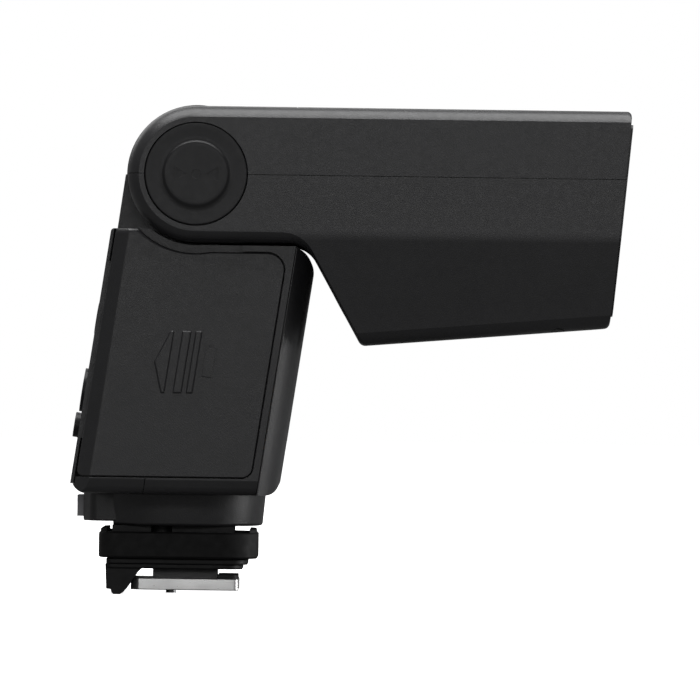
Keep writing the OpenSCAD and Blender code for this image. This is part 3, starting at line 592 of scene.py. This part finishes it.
def head_solid():
    """The whole head as one solid, with its long edges rounded."""
    corners = head_corners()
    edge = HEAD_ROUND * (1 - math.sin(math.radians(HEAD_BREAK)))
    # how far each edge draws in at the side face: rear, hinge underside, slant, chin, front, top
    reach = [edge, edge, 0.35, 2.2, 0.0, edge]
    steps = 7
    half = []
    for k in range(steps + 1):
        normal = math.radians(HEAD_BREAK + (90 - HEAD_BREAK) * k / steps)
        share = (1 - math.sin(normal)) / (1 - math.sin(math.radians(HEAD_BREAK)))
        y = HEAD_W - HEAD_ROUND * (math.cos(math.radians(HEAD_BREAK)) - math.cos(normal))
        half.append((y, outline(corners, [r * share for r in reach])))
    rings = [[side_point(v, -y) for v in loop] for y, loop in half]
    rings += [[side_point(v, y) for v in loop] for y, loop in reversed(half)]
    solid = loft("head", rings)
    edit(solid, taper)
    return solid


def head_hollow():
    """The lamp chamber, open at the front."""
    corners = head_corners()
    walls = [WALL] * 6
    walls[4] = -6
    inner = outline(corners, walls)
    chamber = loft("chamber", [[side_point(v, s * (HEAD_W - WALL)) for v in inner] for s in (-1, 1)])

    def shape(bm):
        taper(bm)
        slice_at(bm, (20.5, 0, 0), (1, 0, 0))
        behind = [f for f in bm.faces if f.calc_center_median().x < 20.5]
        bmesh.ops.delete(bm, geom=behind, context="FACES")
        rim = [e for e in bm.edges if e.is_boundary]
        bmesh.ops.holes_fill(bm, edges=rim, sides=0)
        bmesh.ops.recalc_face_normals(bm, faces=bm.faces)
    edit(chamber, shape)
    return chamber


def head_slot():
    """Room for the tongue through the whole tilt."""
    reach = 30
    z = HINGE.y
    rooms = [cylinder("round", HINGE, SLOT_R, -SLOT_W, SLOT_W)]
    for name, end, z0, z1 in (("above", 9.2, z, z + reach), ("below", 5.8, z - reach, z + 1)):
        room = [Vector(v) for v in ((-reach, z0), (end, z0), (end, z1), (-reach, z1))]
        rooms.append(prism(name, room, -SLOT_W, SLOT_W))
    return rooms


def build_head():
    """The head, parted into two shells at the height of the tilt axis."""
    whole = head_solid()
    cuts = head_slot() + [head_hollow()]
    for s in (-1, 1):
        outer = sorted((s * 21.0, s * (HEAD_W - WALL)))
        cuts.append(cylinder("drum", HINGE, HINGE_R - WALL - 0.2, *outer))
        cuts.append(cylinder("bore", HINGE, 4.3, *sorted((s * 19, s * 22))))
        cuts.append(cylinder("cap seat", HINGE, PUSH_R + 0.13, *sorted((s * (HEAD_W - WALL - 0.5), s * 40))))
        cuts.append(dimple(s))
    # fine seam across the top, where the rounded hinge end meets the flat
    cuts.append(block("seam", (18.2, -40, HEAD_TOP - 0.12), (18.34, 40, 90)))
    boolean(whole, cuts)
    for name, keep_above in (("head_upper", True), ("head_lower", False)):
        part = whole.copy()
        part.data = whole.data.copy()
        part.name = name
        bpy.context.scene.collection.objects.link(part)
        boolean(part, [half_space(HINGE.y + (0.045 if keep_above else -0.045), not keep_above)])
        soften(part, 0.1, 2, 24)
        finish(part, HEAD_BLACK, "head", [name + "_shell"])
    bpy.data.objects.remove(whole)


def half_space(z, above):
    """Everything above or below the height z."""
    z0, z1 = (z, 140) if above else (-20, z)
    return block("half", (-60, -60, z0), (120, 60, z1))


def dimple(side):
    """A small notch low on the cheek that a clip-on diffuser snaps into."""
    return cylinder("dimple", (62.7, 44.0), 1.5, *sorted((side * (HEAD_W - 6), side * HEAD_W)), steps=32)


def cap_profile(depth):
    """Profile of a hinge cap: a softly dished disc with a raised centre, from the rim inwards."""
    return [
        (0, depth), (PUSH_R - 0.1, depth), (PUSH_R, depth - 0.1), (PUSH_R, 0.22), (PUSH_R - 0.06, 0.08),
        (PUSH_R - 0.22, 0.0), (7.6, 0.05), (6.4, 0.09), (5.75, 0.09), (5.6, 0.03), (5.42, -0.12), (5.3, -0.2),
        (5.1, -0.23), (4.6, -0.24), (2.4, -0.2), (0, -0.19),
    ]


def build_caps():
    """The round release button on the right of the hinge, and the cap like it on the left."""
    def right(a, b, h):
        return Vector((HINGE.x + a, -HEAD_W + h, HINGE.y + b))

    def left(a, b, h):
        return Vector((HINGE.x + a, HEAD_W - h, HINGE.y + b))

    push = lathe("tilt_release_cap", cap_profile(5.6), right)
    well = lathe("well", [(0, 6.5), (4.75, 6.5), (4.75, 1.6), (0, 1.6)], right)
    waist = cylinder("waist", HINGE, 9.5, 1.6 - HEAD_W, 7 - HEAD_W)
    boolean(waist, [cylinder("core", HINGE, 5.7, 1 - HEAD_W, 8 - HEAD_W)])
    boolean(push, [well, waist] + press_marks())
    cap = lathe("hinge_cap_left", cap_profile(1.6), left)
    for thing, body, node in ((push, "tilt_release", "release_button"), (cap, "head", "left_hinge_cap")):
        soften(thing, 0.05, 2, 30)
        finish(thing, BUTTON_BLACK, body, [node])


def press_marks():
    """Two arrowheads pointing at a dot, sunk into the button's centre: press here."""
    deep = 0.14
    face = -HEAD_W - 0.25
    marks = [cylinder("dot", HINGE, 0.8, face - 1, face + deep, 32)]
    for s in (-1, 1):
        tip = HINGE + Vector((s * 1.75, 0))
        wings = [tip, HINGE + Vector((s * 3.7, 1.2)), HINGE + Vector((s * 3.7, -1.2))]
        marks.append(prism("arrowhead", wings, face - 1, face + deep))
    return marks


# ---------- body ----------

def door_corners():
    """Door outline; its top is hollowed by an arc about the tilt axis, given as many short edges."""
    a0 = -math.degrees(math.asin((HINGE.y - DOOR_TOP) / DOOR_ARC))
    a1 = -180 + math.degrees(math.asin((HINGE.y - SHELF_Z + 0.05) / DOOR_ARC))
    curve = arc(HINGE, DOOR_ARC, a0, a1, 14)
    return (
        [(lx(P_DOOR_REAR, SILL_Z), SILL_Z, 1.0, 5), (lx(P_DOOR_FRONT, SILL_Z), SILL_Z, 1.9, 8),
         (lx(P_DOOR_FRONT, DOOR_TOP), DOOR_TOP, 2.9, 10)]
        + [(v.x, v.y, 0) for v in curve]
        + [(lx(P_DOOR_REAR, SHELF_Z - 0.05), SHELF_Z - 0.05, 0.5, 4)],
        len(curve),
    )


def door_skin(name, side):
    """A door-shaped cover: bevelled along its top, softly rounded elsewhere, folded at the rear crease."""
    corners, arcs = door_corners()
    arc_reach = [0.32 + 0.55 * (k / (arcs - 1)) ** 2 for k in range(arcs)]
    reach = [0.22, 0.22, 0.32] + arc_reach + [0.1]
    rings = []
    drawn = ((0, 0.0), (0, SKIN - 0.42), (0.18, SKIN - 0.2), (0.55, SKIN - 0.06), (1.0, SKIN))
    for share, depth in drawn:
        loop = outline(corners, [r * share for r in reach])
        rings.append([side_point(v, side * (DOOR_IN + depth)) for v in loop])
    skin = loft(name, rings)
    fold = (0.55, 0.3, 0.12, 0, -0.12, -0.3)

    def shape(bm):
        for k in fold:
            slice_at(bm, leaned(P_CREASE + k, 0, 0), (CL, 0, -SL))
        for v in bm.verts:
            p = lean_pq(v.co.x, v.co.z)[0] - P_CREASE
            lost = 0.1 * max(0, 1 - abs(p) / 0.45) + max(0, -p) * 0.72
            outer = abs(v.co.y) - DOOR_IN
            if outer > 0.05:
                v.co.y = side * (DOOR_IN + max(outer - lost, 0.06))
    edit(skin, shape)
    return skin


def raised_rib(name, points, height):
    """A low rib standing out of the door, with drawn-in edges."""
    corners = [(v.x, v.y, 0.12, 3) for v in points]
    rings = []
    steps = ((-0.12, -0.15), (-0.1, 0.0), (0.0, height * 0.55), (0.1, height * 0.9), (0.22, height))
    for inset, out in steps:
        loop = outline(corners, [inset] * len(corners))
        rings.append([side_point(v, -(BODY_W + out)) for v in loop])
    return loft(name, rings)


def arrow_ribs():
    """The opening arrow: a triangle pointing to the rear, with two bars behind it."""
    z0, z1 = 33.7, 44.05
    mid = (z0 + z1) / 2

    def at(p, z):
        return Vector((lx(p, z), z))

    triangle = [at(-10.78, mid), at(-8.9, z1), at(-8.4, z1), at(-8.4, z0), at(-8.9, z0)]
    ribs = [raised_rib("rib", triangle, 0.24)]
    for p0, p1 in ((-6.9, -5.55), (-4.7, -3.72)):
        ribs.append(raised_rib("rib", [at(p0, z0), at(p1, z0), at(p1, z1), at(p0, z1)], 0.24))
    return ribs


def cell_marks():
    """A cell drawn in thin sunk lines beside the arrow."""
    centre = Vector((lx(-1.75, 38.8), 38.8))
    turn = Matrix.Rotation(-LEAN, 2)
    deep = BODY_W - 0.12

    def bar(x0, z0, x1, z1):
        corners = [Vector(v) for v in ((x0, z0), (x1, z0), (x1, z1), (x0, z1))]
        return prism("mark", [centre + turn @ v for v in corners], -BODY_W - 1, -deep)

    wide, tall, line = 1.0, 2.6, 0.26
    return [
        bar(-wide, -tall, -wide + line, tall), bar(wide - line, -tall, wide, tall),
        bar(-wide, -tall, wide, -tall + line), bar(-wide, tall - line, wide, tall),
        bar(-0.42, tall - 0.02, 0.42, tall + 0.5),
    ]


def hinge_rod(name, radius, q0, q1):
    """A rod about the door's hinge pin, from q0 to q1 along the lean."""
    ring = arc((0, 0), radius, 0, 345, 23)
    return loft(name, [[leaned(P_HINGE + v.x, -DOOR_IN + v.y, q) for v in ring] for q in (q0, q1)])


def build_door():
    """The battery door, with its arrow, its mark, its hinge barrel and room for the slider's knuckles."""
    door = door_skin("battery_door_skin", -1)
    edit(door, tidy)
    boolean(door, arrow_ribs(), "UNION")
    boolean(door, cell_marks())
    boolean(door, [hinge_rod("barrel", 0.65, 27.3, 49.7)], "UNION")
    boolean(door, [hinge_rod("pocket", 0.73, q - 0.1, q + 3.3) for q in (24, 49.8)])
    soften(door, 0.05, 2, 32)
    finish(door, BODY_BLACK, "door", ["battery_door"])


COVER_SCREWS = ((-9, 22.5), (8.6, 22.5), (13.3, 53.5))


def build_left_cover():
    """The cover opposite the door, held by three countersunk screws."""
    cover = door_skin("left_side_cover", 1)
    cuts = []
    for at in COVER_SCREWS:
        cuts.append(cylinder("shank", at, 1.05, DOOR_IN - 2, BODY_W + 2, 32))
        cuts.append(cylinder("head seat", at, 1.9, BODY_W - 0.9, BODY_W + 2, 48))
    boolean(cover, cuts)
    soften(cover, 0.08, 2, 32)
    finish(cover, BODY_BLACK, "body", ["left_cover"])


def plan_prism(name, half, q0=-5, q1=90):
    """A plan outline given by its left half, mirrored and pushed along the lean."""
    loop = half + [Vector((v.x, -v.y)) for v in reversed(half)]
    return loft(name, [[leaned(v.x, v.y, q) for v in loop] for q in (q0, q1)])


def corner_round(p, z, radius, up, out):
    """What is cut away to round a corner of the body's side outline, on the leaning line p at height z."""
    centre = Vector((lx(p - out * radius, z - up * radius), z - up * radius))
    far = 3 * radius
    points = [
        centre, centre + Vector((0, up * far)), centre + Vector((out * far, up * far)),
        centre + Vector((CL, -SL)) * out * far,
    ]
    tool = prism("round", points, -40, 40)
    return boolean(tool, [cylinder("core", centre, radius, -41, 41, 128)])


def build_front_cover():
    """The front of the body: broad upright rounding that starts abruptly at the seam."""
    curve = arc((P_FRONT - COVER_ROUND, BODY_W - 8.2), COVER_ROUND, 44, 0, 24)
    half = [Vector((P_COVER - 2, BODY_W - 0.1))] + curve
    cover = plan_prism("front_cover_shell", half)
    far = 90
    boolean(cover, [
        block("below", (-far, -far, -far), (far, far, BODY_Z)),
        block("above", (-far, -far, SHOULDER_Z), (far, far, 2 * far)),
        leaning_block("behind", (P_COVER - 30, -far, -far), (P_COVER, far, 2 * far)),
        leaning_block("inside", (P_COVER - 3, -26, 21), (P_FRONT - SKIN, 26, 53)),
        corner_round(P_FRONT, SHOULDER_Z, TOP_ROUND, 1, 1),
        corner_round(P_FRONT, BODY_Z, FOOT_ROUND, -1, 1),
    ])
    soften(cover, 0.16, 3, 40)
    finish(cover, BODY_BLACK, "body", ["front_cover"])


# How far the body's underside edge has drawn in at each distance from its side face:
# a slope, then a round.
BELLY = ((2.0, 0.0), (1.35, 0.14), (0.8, 0.42), (0.42, 0.85), (0.26, 1.3), (0.05, 2.35), (0.0, 2.5))


def build_rims():
    """Strips that border the door and the left cover: below them and in front."""
    for name, side in (("right_rim", -1), ("left_rim", 1)):
        edge = P_COVER - GAP
        front, sill, top = P_DOOR_FRONT + 0.15, SILL_Z - 0.15, DOOR_TOP + 0.15
        corners = [
            (SOLE_X, BODY_Z, 0), (lx(edge, BODY_Z), BODY_Z, 0), (lx(edge, SHOULDER_Z), SHOULDER_Z, 0),
            (HINGE.x + 8, SHOULDER_Z, 0), (HINGE.x + 8, top, 0), (lx(front, top), top, 3.05, 10),
            (lx(front, sill), sill, 2.05, 8), (SOLE_X + 0.42, sill, 0),
        ]
        rings = [[side_point(v, side * (BLOCK_W + 0.02)) for v in outline(corners)]]
        for depth, drawn in BELLY:
            loop = outline(corners, [drawn] + [0] * 7)
            rings.append([side_point(v, side * (BODY_W - depth)) for v in loop])
        rim = loft(name, rings)
        soften(rim, 0.09, 2, 40)
        finish(rim, BODY_BLACK, "body", ["side_rims"] if side < 0 else [])


def rear_chamfer(side):
    """What lies outside the body's chamfered rear edge, on one side."""
    far = 9
    plan = [
        (P_REAR - far, DOOR_IN - 1.2), (P_REAR, DOOR_IN - 1.2), (P_DOOR_REAR - 0.05, DOOR_IN + 0.1),
        (P_CREASE - 0.25, BODY_W - 0.3), (P_CREASE, BODY_W), (P_CREASE, BODY_W + far),
        (P_REAR - far, BODY_W + far),
    ]
    return loft("chamfer", [[leaned(p, side * y, q) for p, y in plan] for q in (-20, 90)])


def build_sole():
    """The sole under the rear of the body, rounded at its rear and along both sides."""
    sill = SILL_Z - 0.15
    front = SOLE_X - GAP
    half = [Vector((BODY_W - depth, BODY_Z + drawn)) for depth, drawn in BELLY]
    half.append(Vector((BODY_W, sill)))
    section = half + [Vector((-v.x, v.y)) for v in reversed(half)]
    sole = loft("base_sole_shell", [[Vector((x, v.x, v.y)) for v in section] for x in (-30, front + 1)])
    far = 60
    boolean(sole, [
        leaning_block("behind", (P_REAR - far, -far, -far), (P_REAR, far, far)),
        leaning_block("ahead", (lean_pq(front, BODY_Z)[0], -far, -far), (far, far, far)),
        block("frame", (front, -BLOCK_W - 0.05, 0), (far, BLOCK_W + 0.05, far)),
        block("above", (-far, -DOOR_IN, SOLE_TOP), (far, DOOR_IN, far)),
        block("lock", (-14.4, -5.2, 10), (2.6, 5.2, 30)),
        corner_round(P_REAR, BODY_Z, REAR_ROUND, -1, -1),
        rear_chamfer(1), rear_chamfer(-1),
    ])
    soften(sole, 0.09, 2, 40)
    finish(sole, BODY_BLACK, "body", ["base_sole"])


# ---------- foot ----------

def slab(name, corners, z0, z1, edge, steps=4):
    """A flat outline stood up from z0 to z1 with rounded top and bottom edges."""
    rings = []
    for k in range(steps + 1):
        a = math.pi / 2 * k / steps
        rings.append((z0 + edge * (1 - math.cos(a)), edge * (1 - math.sin(a))))
    rings += [(z0 + z1 - z, inset) for z, inset in reversed(rings)]
    loops = [(z, outline(corners, [inset] * len(corners))) for z, inset in rings]
    return loft(name, [[Vector((v.x, v.y, z)) for v in loop] for z, loop in loops])


def mirrored(corners):
    """A plan outline from its right half (y below 0), given from the rear to the front."""
    return corners + [(x, -y, *rest) for x, y, *rest in reversed(corners)]


def upright(name, centre, radius, z0, z1, steps=48):
    """An upright cylinder."""
    loop = arc(centre, radius, 0, 360 * (1 - 1 / steps), steps - 1)
    return loft(name, [[Vector((v.x, v.y, z)) for v in loop] for z in (z0, z1)])


def build_collar():
    """The collar between body and foot: a short cone with a squarer block behind it for the lock."""
    top = BODY_Z - GAP
    foot = COLLAR_Z

    def place(a, b, h):
        return Vector((a - 1.4, b, h))

    profile = [
        (0, foot), (13.9, foot), (14.25, foot + 0.07), (14.45, foot + 0.25), (14.53, foot + 0.5),
        (14.96, top - 0.25), (14.9, top - 0.08), (14.75, top), (0, top),
    ]
    cone = lathe("turret_collar", profile, place, 160)
    boolean(cone, [block("behind", (-30, -30, 0), (-12.3, 30, 30))])
    plan = mirrored([(-17.5, -5.6, 1.2, 5), (-16, -9.2, 2, 8), (-11.0, -10.4, 0)])
    boolean(cone, [slab("rear", plan, foot + 0.6, top, 0.3)], "UNION")
    cuts = [
        block("chamber", (-13.6, -5, foot + 1.1), (3, 5, 20)),
        block("opening", (-20, -4.7, 12.1), (-12.2, 4.7, 16.1)),
        upright("pin bore", (LOCK_X, 0), 1.28, 5, 20),
    ]
    for at in COLLAR_SCREWS:
        cuts += [upright("shank", at, 1.0, 5, 20), upright("seat", at, 1.7, 5, foot + 2.75)]
    boolean(cone, cuts)
    soften(cone, 0.08, 2, 32)
    finish(cone, BODY_BLACK, "body", ["base_collar"])


def build_skirt():
    """The soft skirt that seals against the camera, with raised lips at its two ends."""
    outer = mirrored([(-14.7, -12.9, 3, 10), (12.4, -12.9, 5.5, 16)])
    skirt = slab("shoe_skirt_rubber", outer, 5.45, 9.9, 0.45, 5)
    lips = slab("lips", mirrored([(-14.4, -12.6, 3, 10), (12.1, -12.6, 5.5, 16)]), 8.5, 10.5, 0.3)
    boolean(lips, [block("middle", (-13.3, -20, 5), (11.0, 20, 15))])
    boolean(skirt, [lips], "UNION")
    boolean(skirt, [block("room", (-12.5, -10.6, 0), (8.4, 10.6, 20))])
    soften(skirt, 0.12, 3, 40)
    finish(skirt, SKIRT_RUBBER, "body", ["shoe_skirt"])


def build_foot():
    """The black foot with its fin, the metal shoe plate and the neck between them."""
    base = block("foot_base_shell", (-12.4, -10.5, 5.3), (8.3, 10.5, COLLAR_Z - 0.05))
    upper = slab("upper", mirrored([(-13.4, -10.6, 1, 5), (10.7, -10.6, 4, 12)]), 4.4, 5.36, 0.2)
    lower = slab("lower", mirrored([(-13.4, -9.9, 1, 5), (9.85, -9.9, 4, 12)]), 3.6, 4.45, 0.2)
    fin_line = (
        (-13.55, 4.3), (-13.35, 0.1), (-12.6, 0.0), (-12.4, -0.6), (-12.1, FIN_Z), (-11.0, FIN_Z),
        (-10.5, FIN_Z + 0.3), (-10.1, -0.1), (-9.0, 1.6), (-8.1, 2.9), (-7.3, 3.6), (-6.2, 4.1), (-5.0, 4.3),
    )
    fin = prism("fin", [Vector(v) for v in fin_line], -9.3, 9.3)
    boolean(base, [upper, lower, fin], "UNION")
    cuts = [
        upright("pin bore", (LOCK_X, 0), 1.28, -5, 30),
        slab("plate room", foot_corners(0.3), -2, 2.6, 0.05),
    ]
    for x in PLATE_SCREW_X:
        cuts += [upright("screw", (x, y), 0.9, -1, 9) for y in PLATE_SCREW_Y]
    cuts += [upright("head", at, 1.8, 9, 14) for at in COLLAR_SCREWS]
    boolean(base, cuts)
    soften(base, 0.14, 3, 32)
    finish(base, FOOT_BLACK, "body", ["foot_base"])

    plate = slab("shoe_plate", foot_corners(0), 0, FOOT_T, 0.14)
    neck = block("foot_neck", (-5.5, -6, FOOT_T + 0.02), (5.5, 6, 3.55))
    pocket = block("pocket", (6.2, -7.2, -1), (20, 7.2, FOOT_T - 0.5))
    cuts = [upright("pin bore", (LOCK_X, 0), 0.93, -1, 6), pocket]
    more = [upright("pin bore", (LOCK_X, 0), 0.93, -1, 6)]
    for x in PLATE_SCREW_X:
        for y in PLATE_SCREW_Y:
            cuts += [upright("screw", (x, y), 1.05, -1, 6), countersink(x, y)]
            more.append(upright("screw", (x, y), 1.05, -1, 6))
    boolean(plate, cuts)
    boolean(neck, more)
    soften(plate, 0.06, 2, 40)
    soften(neck, 0.15, 2, 40)
    finish(plate, FOOT_METAL, "body", ["foot_plate"])
    finish(neck, BODY_BLACK, "body", [])


def countersink(x, y):
    """A conical seat for a screw's head in the underside of the shoe plate."""
    rings = []
    for z, radius in ((-0.01, 2.0), (0.95, 1.05)):
        rings.append([Vector((v.x, v.y, z)) for v in arc((x, y), radius, 0, 352.5, 47)])
    return loft("countersink", rings)


def foot_corners(grow):
    """Plan of the shoe plate: chamfered rear corners, and a front end a little narrower than the rails."""
    wide, long = FOOT_W / 2 + grow, FOOT_L / 2 + grow
    return mirrored([
        (-long, -wide + 1.4, 0), (-long + 1.4, -wide, 0), (4.4, -wide, 0), (4.9, -wide + 0.25, 0),
        (long, -wide + 0.25, 1.2, 6),
    ])


# ---------- springs that are pressed ----------

def spring(name, wire, radius, length, turns, place):
    """A coil of round wire; place turns (a, b, height) into a point in space."""
    sides, steps = 12, round(turns * 32)
    rings = []
    for i in range(steps + 1):
        turn = 2 * math.pi * turns * i / steps
        height = wire + (length - 2 * wire) * i / steps
        ring = []
        for k in range(sides):
            b = 2 * math.pi * k / sides
            out = radius + wire * math.cos(b)
            ring.append(place(out * math.cos(turn), out * math.sin(turn), height + wire * math.sin(b)))
        rings.append(ring)
    coil = loft(name, rings)
    smooth(coil)
    return coil


def build_springs():
    """The springs behind the release button and over the lock pin."""
    seat, length, press = -24.5, 6.2, 1.5

    def across(a, b, h):
        return Vector((HINGE.x + a, seat - h, HINGE.y + b))

    coil = spring("release_coil", 0.3, 3.3, length, 4.5, across)
    finish(coil, SPRING_STEEL, "head", ["release_spring"])
    anchor = tuple(across(0, 0, 0) * MM)
    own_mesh(coil)

    floor, height, lift = 15.3, 4.1, 1.2

    def upwards(a, b, h):
        return Vector((LOCK_X + a, b, floor + h))

    coil = spring("lock_coil", 0.22, 1.75, height, 4, upwards)
    finish(coil, SPRING_STEEL, "body", ["lock_spring"])
    anchor = tuple(upwards(0, 0, height) * MM)
    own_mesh(coil)


# ---------- CAD pieces that keep their shape ----------

FINISH = {
    "main_frame": BODY_BLACK, "hinge_bracket": BODY_BLACK, "rear_panel": BODY_BLACK,
    "front_bezel": BODY_BLACK, "indicator_window": SMOKED, "indicator_leds": MILKY,
    "keypad_membrane": KEYPAD, "control_board": BOARD,
    "tact_switches": TIN, "power_board": BOARD, "power_transformer": COPPER, "board_components": CHIP,
    "aa_cells": CELL, "bay_contacts": CONTACT, "bay_spring": CONTACT, "bay_seal": SKIRT_RUBBER,
    "tilt_shaft": STEEL, "click_plate": STEEL, "body_screws": SCREW_BLACK, "foot_screws": STEEL,
    "contact_block": FOOT_BLACK, "contact_pins": GOLD, "door_slider": STEEL, "door_hinge_pin": STEEL,
    "door_contacts": CONTACT, "door_spring": CONTACT, "front_lens": LENS, "reflector": MIRROR,
    "flash_tube": TUBE, "tube_electrodes": STEEL, "tube_boots": SILICONE, "trigger_board": BOARD,
    "trigger_coil": COPPER, "main_capacitor": SLEEVE, "capacitor_cradle": FOOT_BLACK, "hinge_bushes": BRONZE,
    "head_screws": SCREW_BLACK, "plus_button": BUTTON_BLACK, "minus_button": BUTTON_BLACK,
    "test_button": BUTTON_BLACK, "pairing_button": BUTTON_BLACK, "power_switch": BUTTON_BLACK,
    "lock_button": LOCK_GREY, "lock_pin": STEEL,
}
# Width of the small rounded edges, in millimetres.
EDGES = {
    "main_frame": 0.2, "hinge_bracket": 0.3, "rear_panel": 0.3, "contact_block": 0.1, "lock_button": 0.15,
    "plus_button": 0.15, "minus_button": 0.15, "test_button": 0.2, "pairing_button": 0.15,
    "power_switch": 0.12, "front_bezel": 0.12, "body_screws": 0.05, "aa_cells": 0.3, "main_capacitor": 0.3,
    "tilt_shaft": 0.1, "head_screws": 0.05, "foot_screws": 0.05, "door_slider": 0.06,
    "power_transformer": 0.15, "board_components": 0.08,
}


def smooth_group():
    """Geometry nodes that shade faces smooth, except across sharp edges."""
    group = bpy.data.node_groups.new("smooth by angle", "GeometryNodeTree")
    group.interface.new_socket("Geometry", in_out="INPUT", socket_type="NodeSocketGeometry")
    group.interface.new_socket("Geometry", in_out="OUTPUT", socket_type="NodeSocketGeometry")
    start, end = group.nodes.new("NodeGroupInput"), group.nodes.new("NodeGroupOutput")
    faces = group.nodes.new("GeometryNodeSetShadeSmooth")
    edges = group.nodes.new("GeometryNodeSetShadeSmooth")
    faces.domain, edges.domain = "FACE", "EDGE"
    angle = group.nodes.new("GeometryNodeInputMeshEdgeAngle")
    shallow = group.nodes.new("FunctionNodeCompare")
    shallow.data_type, shallow.operation = "FLOAT", "LESS_EQUAL"
    shallow.inputs["B"].default_value = math.radians(28)
    group.links.new(start.outputs[0], faces.inputs["Geometry"])
    group.links.new(faces.outputs[0], edges.inputs["Geometry"])
    group.links.new(angle.outputs["Unsigned Angle"], shallow.inputs["A"])
    group.links.new(shallow.outputs[0], edges.inputs["Shade Smooth"])
    group.links.new(edges.outputs[0], end.inputs[0])
    return group


SMOOTH = smooth_group()


def shade_smooth(node):
    step = node.modifiers.new("smooth", "NODES")
    step.node_group = SMOOTH


def finish_cad():
    """Gives the CAD pieces that show their materials and, where it counts, rounded edges."""
    for name, material in FINISH.items():
        node = frame["nodes"][name]
        for slot in node.material_slots:
            slot.material = material
        if not node.material_slots:
            node.data.materials.append(material)
        shade_smooth(node)
        if name in EDGES:
            bevel = node.modifiers.new("edges", "BEVEL")
            bevel.width = EDGES[name] * MM
            bevel.segments = 3
            bevel.limit_method = "ANGLE"
            bevel.angle_limit = math.radians(32)
            bevel.use_clamp_overlap = True
            bevel.harden_normals = False


# ---------- stage ----------

def build_stage():
    """A pale floor. To the object it is a dim one, so that the undersides stay dark."""
    floor_z = cad_box[0][2]
    bm = bmesh.new()
    bmesh.ops.create_grid(bm, x_segments=8, y_segments=8, size=2.5)
    mesh = bpy.data.meshes.new("floor")
    bm.to_mesh(mesh)
    bm.free()
    floor = bpy.data.objects.new("floor", mesh)
    floor.location = (0, 0, floor_z)
    bpy.context.scene.collection.objects.link(floor)
    pale = Nodes("pale floor")
    path = pale.add("ShaderNodeLightPath")
    seen = path.outputs["Is Camera Ray"]
    pale.link(pale.mix(seen, (0.12, 0.12, 0.12), (0.9, 0.9, 0.9)), pale.surface, "Base Color")
    pale.surface.inputs["Roughness"].default_value = 0.9
    pale.surface.inputs["Specular IOR Level"].default_value = 0.1
    pale.surface.inputs["Emission Color"].default_value = (1, 1, 1, 1)
    pale.link(pale.ramp(seen, 0, 1, 0, 1), pale.surface, "Emission Strength")
    give(floor, pale.material)


def softbox(name, aim, azimuth, elevation, distance, size, power):
    """An area light at the given angles: azimuth 0 is the camera's side and 90 is +X."""
    a, e = math.radians(azimuth), math.radians(elevation)
    way = Vector((math.sin(a) * math.cos(e), -math.cos(a) * math.cos(e), math.sin(e)))
    lamp = bpy.data.lights.new(name, "AREA")
    lamp.shape = "RECTANGLE"
    lamp.size, lamp.size_y = size
    lamp.energy = power
    thing = bpy.data.objects.new(name, lamp)
    thing.location = Vector(aim) + way * distance
    thing.rotation_euler = (-way).to_track_quat("-Z", "Y").to_euler()
    bpy.context.scene.collection.objects.link(thing)
    return thing


def build_lights():
    """Soft light from above, the front and the camera's side, and a dim world for what isn't the camera."""
    aim = (0.03, 0, 0.05)
    softbox("over", aim, 0, 90, 0.8, (1.1, 0.6), 9.6)
    softbox("over front", aim, 0, 70, 0.8, (1.1, 0.12), 2.3)
    softbox("front side", aim, 95, 5.5, 0.8, (0.18, 0.4), 3.7)
    softbox("camera side", aim, 0, 8, 1.2, (1.8, 0.08), 2.05)
    softbox("behind the camera", aim, 0, 3.2, 1.8, (2.0, 0.13), 0.6)
    softbox("behind", aim, 205, 30, 1.0, (0.9, 0.6), 2)
    world = bpy.data.worlds.new("studio")
    world.use_nodes = True
    nodes, links = world.node_tree.nodes, world.node_tree.links
    path = nodes.new("ShaderNodeLightPath")
    level = nodes.new("ShaderNodeMapRange")
    level.inputs["To Min"].default_value = 0.17
    level.inputs["To Max"].default_value = 1.0
    links.new(path.outputs["Is Camera Ray"], level.inputs["Value"])
    links.new(level.outputs["Result"], nodes["Background"].inputs["Strength"])
    nodes["Background"].inputs["Color"].default_value = (1, 1, 1, 1)
    bpy.context.scene.world = world
    bpy.context.scene.view_settings.view_transform = "Standard"


def build_camera():
    """A long lens from the flash's right, level with it."""
    camera = bpy.data.cameras.new("camera")
    thing = bpy.data.objects.new("camera", camera)
    bpy.context.scene.collection.objects.link(thing)
    camera.sensor_width = 36
    camera.lens = 450
    thing.location = (0.02764, -1.5, 0.0413)
    thing.rotation_euler = (math.pi / 2, math.radians(-0.8), 0)
    bpy.context.scene.camera = thing


build_head()
build_caps()
build_door()
build_left_cover()
build_front_cover()
build_rims()
build_sole()
build_collar()
build_skirt()
build_foot()
build_springs()
finish_cad()
build_stage()
build_lights()
build_camera()

bpy.context.view_layer.update()
